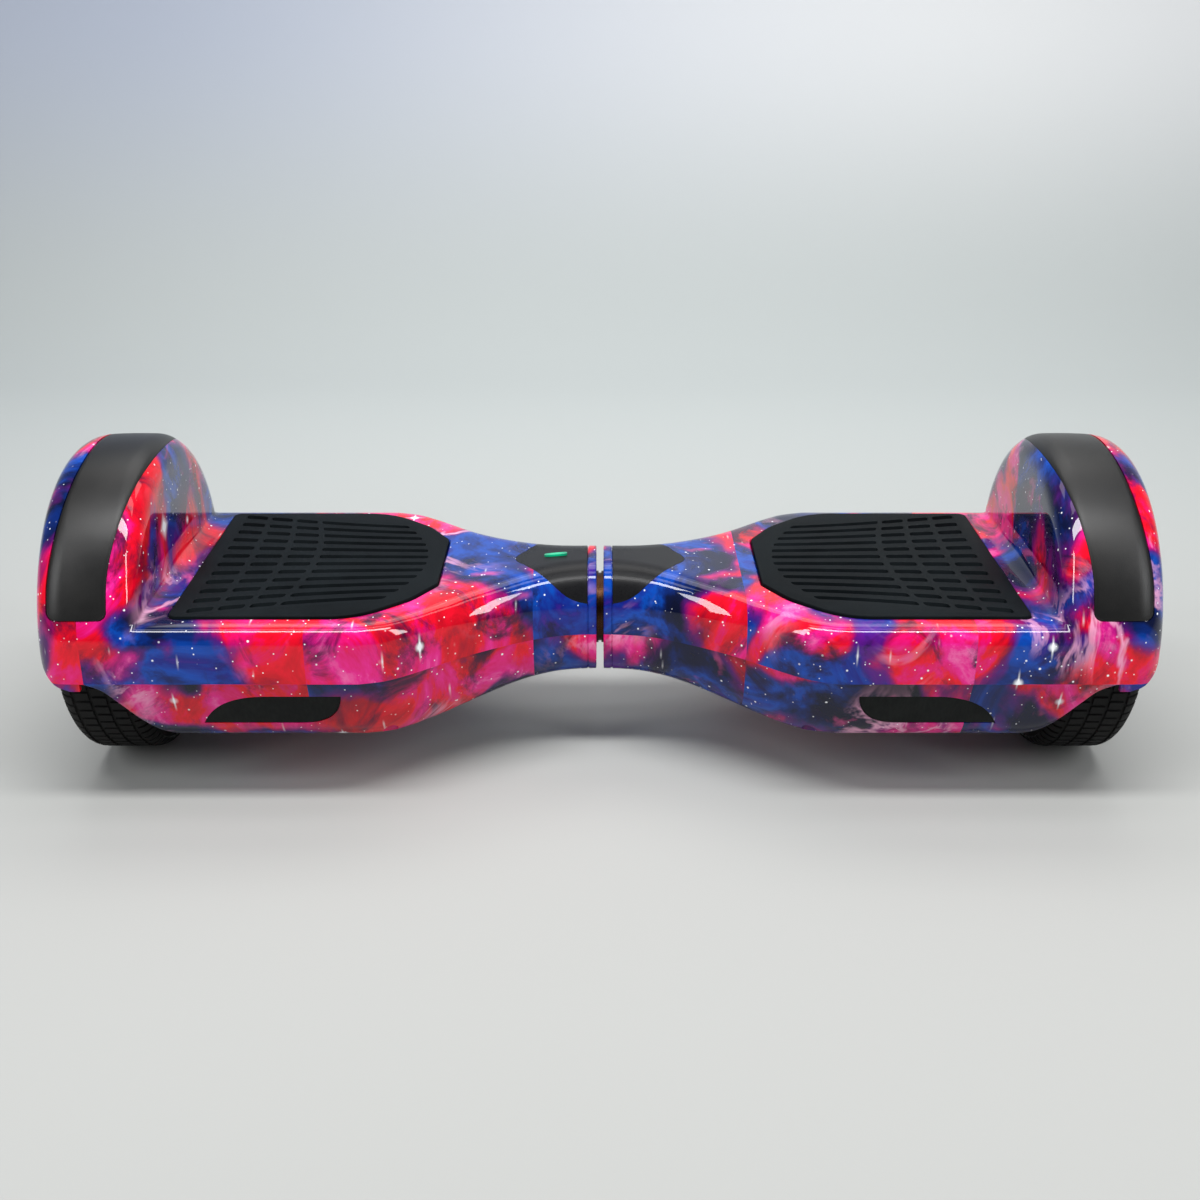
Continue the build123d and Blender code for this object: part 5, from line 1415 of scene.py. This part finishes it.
@dataclass
class Casing:
    """The printed shells of one half with its centre cover, bumper and headlight window."""

    side: Side
    palette: Palette
    mat_room: float = 0.5
    recess_z: float = 102.6
    cover_low_z: float = 92.6
    cover_thick: float = 2.0
    bumper_thick: float = 2.0
    bumper_crown: float = 0.5
    lens_thick: float = 2.2
    opening_r: float = 79.0
    flange_r: float = 27.4
    notch_r: float = 19.0
    seat_r: float = 4.0
    pit_r: float = 4.4
    pit_wall: float = 2.6
    pits: tuple[Flat, ...] = ((113.0, 72.0), (113.0, -72.0))
    # Two corners of the walled tray and of the pocket in it that take the back's socket and button
    tray: tuple[Point, Point] = ((121.5, 77.3, 41.5), (190.5, 130, 73.5))
    pocket: tuple[Point, Point] = ((124.5, 80.3, 44.5), (187.5, 130, 70.5))
    port_z: float = 57.0
    port_bores: tuple[Flat, ...] = ((140.0, 8.0), (172.0, 9.0))
    # Radius of a screw post, of the room for the screw's head and of its hole
    post_radii: Point = (5.5, 4.0, 2.05)
    deck_screws: tuple[Flat, ...] = ((117.0, 55.0), (117.0, -55.0), (194.0, 55.0), (194.0, -55.0))
    belly_screws: tuple[Flat, ...] = ((123.0, 63.0), (123.0, -63.0), (194.0, 63.0), (194.0, -63.0))

    @property
    def body(self) -> str:
        """The body that the casing belongs to."""
        return f"{self.side.label}_half"

    def settle(self, made: bpy.types.Object, node: str, finish: str) -> bpy.types.Object:
        """Mirrors, shades and paints a piece and lets it stand for its plain node.

        Args:
            made: The finished +X piece.
            node: The node's name without its side.
            finish: The finish's name.

        Returns:
            The piece.
        """
        mirrored(made, self.side)
        Workbench.smooth(made)
        self.palette.paint(made, finish)
        made.name = f"{self.side.label}_{node}_skin"
        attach(made, self.body)
        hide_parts(f"{self.side.label}_{node}")
        return made

    def crown(self, share: float) -> float:
        """The bumper's height over the fender's skin across its width, with soft edges."""
        edge = max(0.0, abs(share) - 0.89) / 0.11
        return self.bumper_crown * (1 - share * share) - 0.55 * edge * edge

    def upper_shell(self) -> bpy.types.Object:
        """Deck and fender in one moulding, open below, with the beds of the parts that sit in it.

        Returns:
            The shell.
        """
        form, bench = FORM, Workbench
        shell = form.arch("shell")
        cavity = form.upper_solid("cavity", form.wall, 60.0, form.gap + form.wall, form.wall_x)
        outline = form.mat_outline()
        floor = bench.prism("floor", grown(outline, self.mat_room + form.wall),
                            [(self.recess_z - form.wall, 0.0), (120.0, 0.0)])
        bench.combine(cavity, floor)
        bench.combine(shell, cavity)
        inner_r = form.fender_r - form.wall
        lip_x = form.end_x - 3.5
        well = [(form.well_x, 0.5), (form.well_x, inner_r - 10)]
        well += bezier((form.well_x, inner_r - 10), (form.well_x, inner_r), (form.well_x + 10, inner_r), 8)[1:]
        well += bezier((lip_x - 15, inner_r), (lip_x, inner_r), (lip_x, self.opening_r + 1.6), 12)
        well += [(lip_x, self.opening_r + 0.8), (lip_x + 0.8, self.opening_r), (form.end_x - 0.8, self.opening_r)]
        well += [(form.end_x + 0.2, self.opening_r + 1.2), (form.end_x + 3, self.opening_r + 1.2),
                 (form.end_x + 3, 0.5)]
        bench.combine(shell, bench.revolved("well", well, form.axle_z, 160))
        bench.combine(shell, bench.bar("core", form.well_x, form.end_x + 3, 1.0, 0.0, form.axle_z))
        bench.combine(shell, bench.box("parting", (-5, -120, 0), (form.skirt_x, 120, form.parting_z)))
        recess = [(self.recess_z, 0.0), (form.deck_z - 0.6, 0.0), (form.deck_z + 0.1, 0.75), (130.0, 0.75)]
        bench.combine(shell, bench.prism("recess", grown(outline, self.mat_room), recess))
        bench.combine(shell, form.strap("bed", 0.35, self.bumper_thick, lambda share: 6.0))
        corner = bezier((form.end_x + 0.5, 99.0), (form.end_x - 0.5, 74.0), (274.0, 70.9), 12)
        corner += [(300.0, 70.0), (300.0, 99.0)]
        bench.combine(shell, bench.loft("corner", [[(x, y, z) for x, z in corner] for y in (-120.0, 120.0)]))
        bench.combine(shell, self.cover_bed())
        bench.combine(shell, bench.bar("mouth", -5, 56, self.flange_r, 0.0, form.pivot_z))
        bench.combine(shell, bench.bar("notch", form.wall_x - 1, form.well_x + 1, self.notch_r, 0.0, form.axle_z))
        for x, y in self.deck_screws:
            seat = [(self.recess_z - 4, 0.0), (self.recess_z + 1, 0.0)]
            bench.combine(shell, bench.prism("seat", disc(x, y, self.seat_r, 24), seat))
        if self.side is Side.LEFT:
            bench.combine(shell, self.status_slot(0.2))
        return self.settle(shell, "upper_shell", "space_print")

    def cover_bed(self) -> bpy.types.Object:
        """The recess that takes the centre cover, as a cutter."""
        floor = FORM.upper_solid("floor", self.cover_thick + 0.25, 60.0, FORM.gap, 70.0)
        return Workbench.combine(FORM.cover_solid("bed", self.cover_low_z - 0.25, 0.25), floor)

    def status_slot(self, room: float) -> bpy.types.Object:
        """The status lamp's slot as an upright solid.

        Args:
            room: How much larger than the lamp it is all round.

        Returns:
            The closed solid.
        """
        centre, half, radius = 25, 5.0, 1.5 + room
        turns = [math.pi * (k / 12 - 0.5) for k in range(13)]
        ring = [(centre + half + radius * math.cos(a), radius * math.sin(a)) for a in turns]
        ring += [(centre - half - radius * math.cos(a), -radius * math.sin(a)) for a in turns]
        return Workbench.prism("slot", ring, [(100.0, 0.0), (130.0, 0.0)])

    def lower_shell(self) -> bpy.types.Object:
        """Belly moulding that rises to the wheel, with the headlight window and the screw posts.

        Returns:
            The shell.
        """
        form, bench = FORM, Workbench
        shell = form.lower_solid("shell", 0.0, form.parting_z, form.gap, form.skirt_x)
        cavity = form.lower_solid("cavity", form.wall, 82.0, form.gap + form.wall, form.wall_x)
        for x, y in self.pits:
            boss = disc(x, y, self.pit_r + self.pit_wall, 32)
            bench.combine(cavity, bench.prism("boss", boss, [(25.0, 0.0), (50.0, 0.0)]))
        has_ports = self.side is Side.RIGHT
        if has_ports:
            bench.combine(cavity, bench.box("tray", *self.tray))
        bench.combine(shell, cavity)
        bench.combine(shell, bench.bar("well", form.well_x, form.end_x, 88.0, 0.0, form.axle_z))
        bench.combine(shell, bench.bar("mouth", -5, 56, self.flange_r, 0.0, form.pivot_z))
        bench.combine(shell, bench.bar("notch", form.wall_x - 1, form.well_x + 1, self.notch_r, 0.0, form.axle_z))
        bench.combine(shell, form.lamp_solid("window", 0.3))
        for x, y in self.pits:
            bench.combine(shell, bench.prism("pit", disc(x, y, self.pit_r, 32), [(20.0, 0.0), (47.0, 0.0)]))
        if has_ports:
            bench.combine(shell, bench.box("pocket", *self.pocket))
            for x, radius in self.port_bores:
                ring = disc(x, self.port_z, radius, 48)
                bench.combine(shell, bench.loft("bore", [[(a, y, b) for a, b in ring] for y in (74.0, 82.0)]))
        for x, y in self.belly_screws:
            post, head, hole = (disc(x, y, radius, 32) for radius in self.post_radii)
            bench.combine(shell, bench.prism("post", post, [(34.5, 0.0), (50.0, 0.0)]), Cut.BOTH)
            bench.combine(shell, bench.prism("head", head, [(20.0, 0.0), (38.6, 0.0)]))
            bench.combine(shell, bench.prism("hole", hole, [(30.0, 0.0), (55.0, 0.0)]))
        return self.settle(shell, "lower_shell", "space_print")

    def centre_cover(self) -> bpy.types.Object:
        """Smoked cover that saddles the waist.

        Returns:
            The cover.
        """
        cover = FORM.cover_solid("cover", self.cover_low_z, 0.0)
        Workbench.combine(cover, FORM.upper_solid("skin", 0.0, 60.0, FORM.gap, 70.0), Cut.SHARED)
        Workbench.combine(cover, FORM.upper_solid("under", self.cover_thick, 50.0, FORM.gap - 1, 71.0))
        if self.side is Side.LEFT:
            Workbench.combine(cover, self.status_slot(0.05))
        return self.settle(cover, "centre_cover", "satin_smoke")

    def fender_bumper(self) -> bpy.types.Object:
        """Soft strip over the fender."""
        strip = FORM.strap("bumper", 0.0, self.bumper_thick - 0.1, self.crown)
        return self.settle(strip, "fender_bumper", "bumper_soft_touch")

    def headlight_lens(self) -> bpy.types.Object:
        """Smoked window over the headlight.

        Returns:
            The window.
        """
        lens = FORM.lamp_solid("lens", 0.0)
        Workbench.combine(lens, FORM.lower_solid("skin", 0.25, 80.0, 100.0, 219.0), Cut.SHARED)
        Workbench.combine(lens, FORM.lower_solid("under", 0.25 + self.lens_thick, 82.0, 99.0, 218.0))
        return self.settle(lens, "headlight_lens", "smoked_window")

    def build(self) -> list[bpy.types.Object]:
        """Makes every piece of the casing."""
        return [self.upper_shell(), self.lower_shell(), self.centre_cover(), self.fender_bumper(),
                self.headlight_lens()]


@dataclass
class FootMat:
    """Rubber tread mat that sinks a little when stood on."""

    side: Side
    palette: Palette
    grooves: GroovePattern
    low_z: float = 104.5
    top_z: float = 107.5

    def build(self) -> list[bpy.types.Object]:
        """Makes the mat with its soft rim and its grooves.

        Returns:
            The mat, alone in a list.
        """
        levels = [(self.low_z, 0.0), (self.top_z - 0.9, 0.0), (self.top_z - 0.35, -0.15), (self.top_z - 0.08, -0.45),
                  (self.top_z, -0.95)]
        mat = Workbench.prism("mat", FORM.mat_outline(), levels)
        rubber = self.palette.materials["mat_tread_rubber"]
        Workbench.combine(mat, self.grooves.cutters("grooves", self.top_z, rubber))
        mirrored(mat, self.side)
        Workbench.smooth(mat)
        self.palette.paint(mat, "mat_tread_rubber")
        mat.name = f"{self.side.label}_foot_mat_tread"
        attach(mat, f"{self.side.label}_mat")
        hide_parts(f"{self.side.label}_foot_mat")
        return [mat]


@dataclass
class Tyre:
    """Solid tyre with tread blocks."""

    side: Side
    palette: Palette
    pattern: TreadPattern
    centre_x: float = 265.0
    bore_r: float = 66.0

    def carcass(self) -> bpy.types.Object:
        """The tyre's body under its tread.

        Returns:
            The closed body.
        """
        flat, shoulder, top = self.pattern.half_flat, self.pattern.shoulder, self.pattern.base_r
        half = flat + shoulder
        arc = [(flat + shoulder * math.sin(a), top - shoulder + shoulder * math.cos(a))
               for a in (math.pi / 2 * k / 10 for k in range(11))]
        right = arc + [(half + 0.4, 72.5), (half + 0.4, 70.5), (half - 0.4, 69.5), (half - 0.4, self.bore_r)]
        left = [(-x, r) for x, r in reversed(right)]
        profile = [(self.centre_x + x, r) for x, r in right + left]
        return Workbench.revolved("tyre", profile, FORM.axle_z, 160)

    def build(self) -> list[bpy.types.Object]:
        """Makes the carcass and its tread blocks.

        Returns:
            Both pieces.
        """
        rubber = self.palette.materials["tyre_compound"]
        made = [self.carcass(), self.pattern.tread("tread", self.centre_x, rubber)]
        for piece, word in zip(made, ("carcass", "tread")):
            mirrored(piece, self.side)
            Workbench.smooth(piece)
            self.palette.paint(piece, "tyre_compound")
            piece.name = f"{self.side.label}_tyre_{word}"
            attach(piece, f"{self.side.label}_wheel")
        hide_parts(f"{self.side.label}_tyre")
        return made


# ---------------------------------------------------------------- studio


@dataclass
class Studio:
    """Pale sweep, soft lamps and the camera."""

    half_width: float = 2.6
    front_y: float = -2.4
    bend_y: float = 0.80
    bend_r: float = 0.60
    wall_z: float = 2.2
    camera_place: Point = (0.0, -0.777, 0.413)
    target: Point = (0.0, 0.0, 0.083)
    lens: float = 44.25
    # Name, place, aim, size, power and colour of each lamp
    lamps: tuple[tuple[str, Point, Point, Flat, float, Point], ...] = (
        ("overhead", (0.0, 0.50, 1.15), (0.0, 0.0, 0.0), (1.4, 0.4), 5.0, (1.0, 0.99, 0.97)),
        ("strip", (0.0, -0.34, 1.12), (0.0, 0.0, 0.05), (1.3, 0.17), 14.5, (1.0, 1.0, 1.0)),
        ("front_left", (-1.0, -0.62, 0.70), (0.2, 0.0, 0.1), (0.14, 0.8), 6.0, (0.98, 0.99, 1.0)),
        ("front_right", (1.0, -0.62, 0.70), (-0.2, 0.0, 0.1), (0.14, 0.8), 6.0, (0.98, 0.99, 1.0)),
        ("wall_wash", (0.3, 0.1, 1.9), (0.15, 1.40, 0.60), (2.2, 0.4), 9.0, (0.95, 0.97, 1.0)),
        ("back_fill", (0.0, 1.25, 1.60), (0.0, 0.0, 0.05), (1.6, 0.5), 3.5, (1.0, 0.99, 0.98)),
    )

    def sweep(self) -> bpy.types.Object:
        """Floor that curves up into the back wall, with painted light and shade on its paper.

        Returns:
            The sweep.
        """
        path = [(self.front_y, 0.0), (self.bend_y, 0.0)]
        for k in range(1, 25):
            a = math.pi / 2 * k / 24
            path.append((self.bend_y + self.bend_r * math.sin(a), self.bend_r * (1 - math.cos(a))))
        path.append((self.bend_y + self.bend_r, self.wall_z))
        mesh = bpy.data.meshes.new("sweep")
        points = [(x, y, z) for y, z in path for x in (-self.half_width, self.half_width)]
        faces = [(2 * k, 2 * k + 1, 2 * k + 3, 2 * k + 2) for k in range(len(path) - 1)]
        mesh.from_pydata(points, [], faces)
        mesh.shade_smooth()
        made = bpy.data.objects.new("sweep", mesh)
        bpy.context.scene.collection.objects.link(made)
        ink = Ink("sweep_paper")
        tone = ink.mix(ink.noise(1.3, 2.0, 0.5), (0.385, 0.39, 0.377), (0.40, 0.405, 0.393))
        split = ink.add("ShaderNodeSeparateXYZ", {0: ink.coords}).outputs
        # Painted light and shade: the floor is painted darker near the front and lighter towards the back wall.
        tone = ink.mix(ink.fade(split[1], -0.10, 0.90), tone, (0.55, 0.585, 0.575))
        # Painted shade: the wall is painted darker and bluer towards its left side, lighter on the right.
        high = ink.mix(ink.fade(split[0], -0.7, 0.6), (0.54, 0.59, 0.70), (0.90, 0.91, 0.915))
        ink.set(Base_Color=ink.mix(ink.fade(split[2], 0.02, 0.40), tone, high), Roughness=0.8,
                Specular_IOR_Level=0.08)
        made.data.materials.append(ink.material)
        return made

    def lights(self) -> None:
        """Soft area lamps and a pale surround."""
        for name, place, aim, size, power, colour in self.lamps:
            lamp = bpy.data.lights.new(name, "AREA")
            lamp.shape, lamp.size, lamp.size_y = "RECTANGLE", *size
            lamp.energy, lamp.color = power, colour
            made = bpy.data.objects.new(name, lamp)
            made.location = place
            made.rotation_euler = (Vector(aim) - Vector(place)).to_track_quat("-Z", "Y").to_euler()
            bpy.context.scene.collection.objects.link(made)
        world = bpy.data.worlds.new("surround")
        world.use_nodes = True
        world.node_tree.nodes["Background"].inputs[0].default_value = (0.80, 0.83, 0.90, 1.0)
        world.node_tree.nodes["Background"].inputs[1].default_value = 0.15
        bpy.context.scene.world = world

    def camera(self) -> None:
        """The camera, level in front of the board and looking a little down."""
        data = bpy.data.cameras.new("camera")
        data.lens, data.sensor_width = self.lens, 36.0
        made = bpy.data.objects.new("camera", data)
        made.location = self.camera_place
        made.rotation_euler = (Vector(self.target) - Vector(self.camera_place)).to_track_quat("-Z", "Y").to_euler()
        bpy.context.scene.collection.objects.link(made)
        bpy.context.scene.camera = made

    def build(self) -> None:
        """Makes the sweep, the lamps and the camera."""
        self.sweep()
        self.lights()
        self.camera()
        bpy.context.scene.view_settings.view_transform = "Standard"


def main() -> None:
    """Builds the board on its frame, then the studio."""
    logging.basicConfig(level=logging.INFO, format="%(message)s")
    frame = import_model()
    palette = Palette()
    palette.dress_frame(frame["nodes"])
    tread, grooves = TreadPattern(), GroovePattern()
    for side in Side:
        for part in (Casing(side, palette), FootMat(side, palette, grooves), Tyre(side, palette, tread)):
            for piece in part.build():
                log.info("%s: %d faces", piece.name, len(piece.data.polygons))
    Studio().build()


if __name__ == "__main__":
    main()
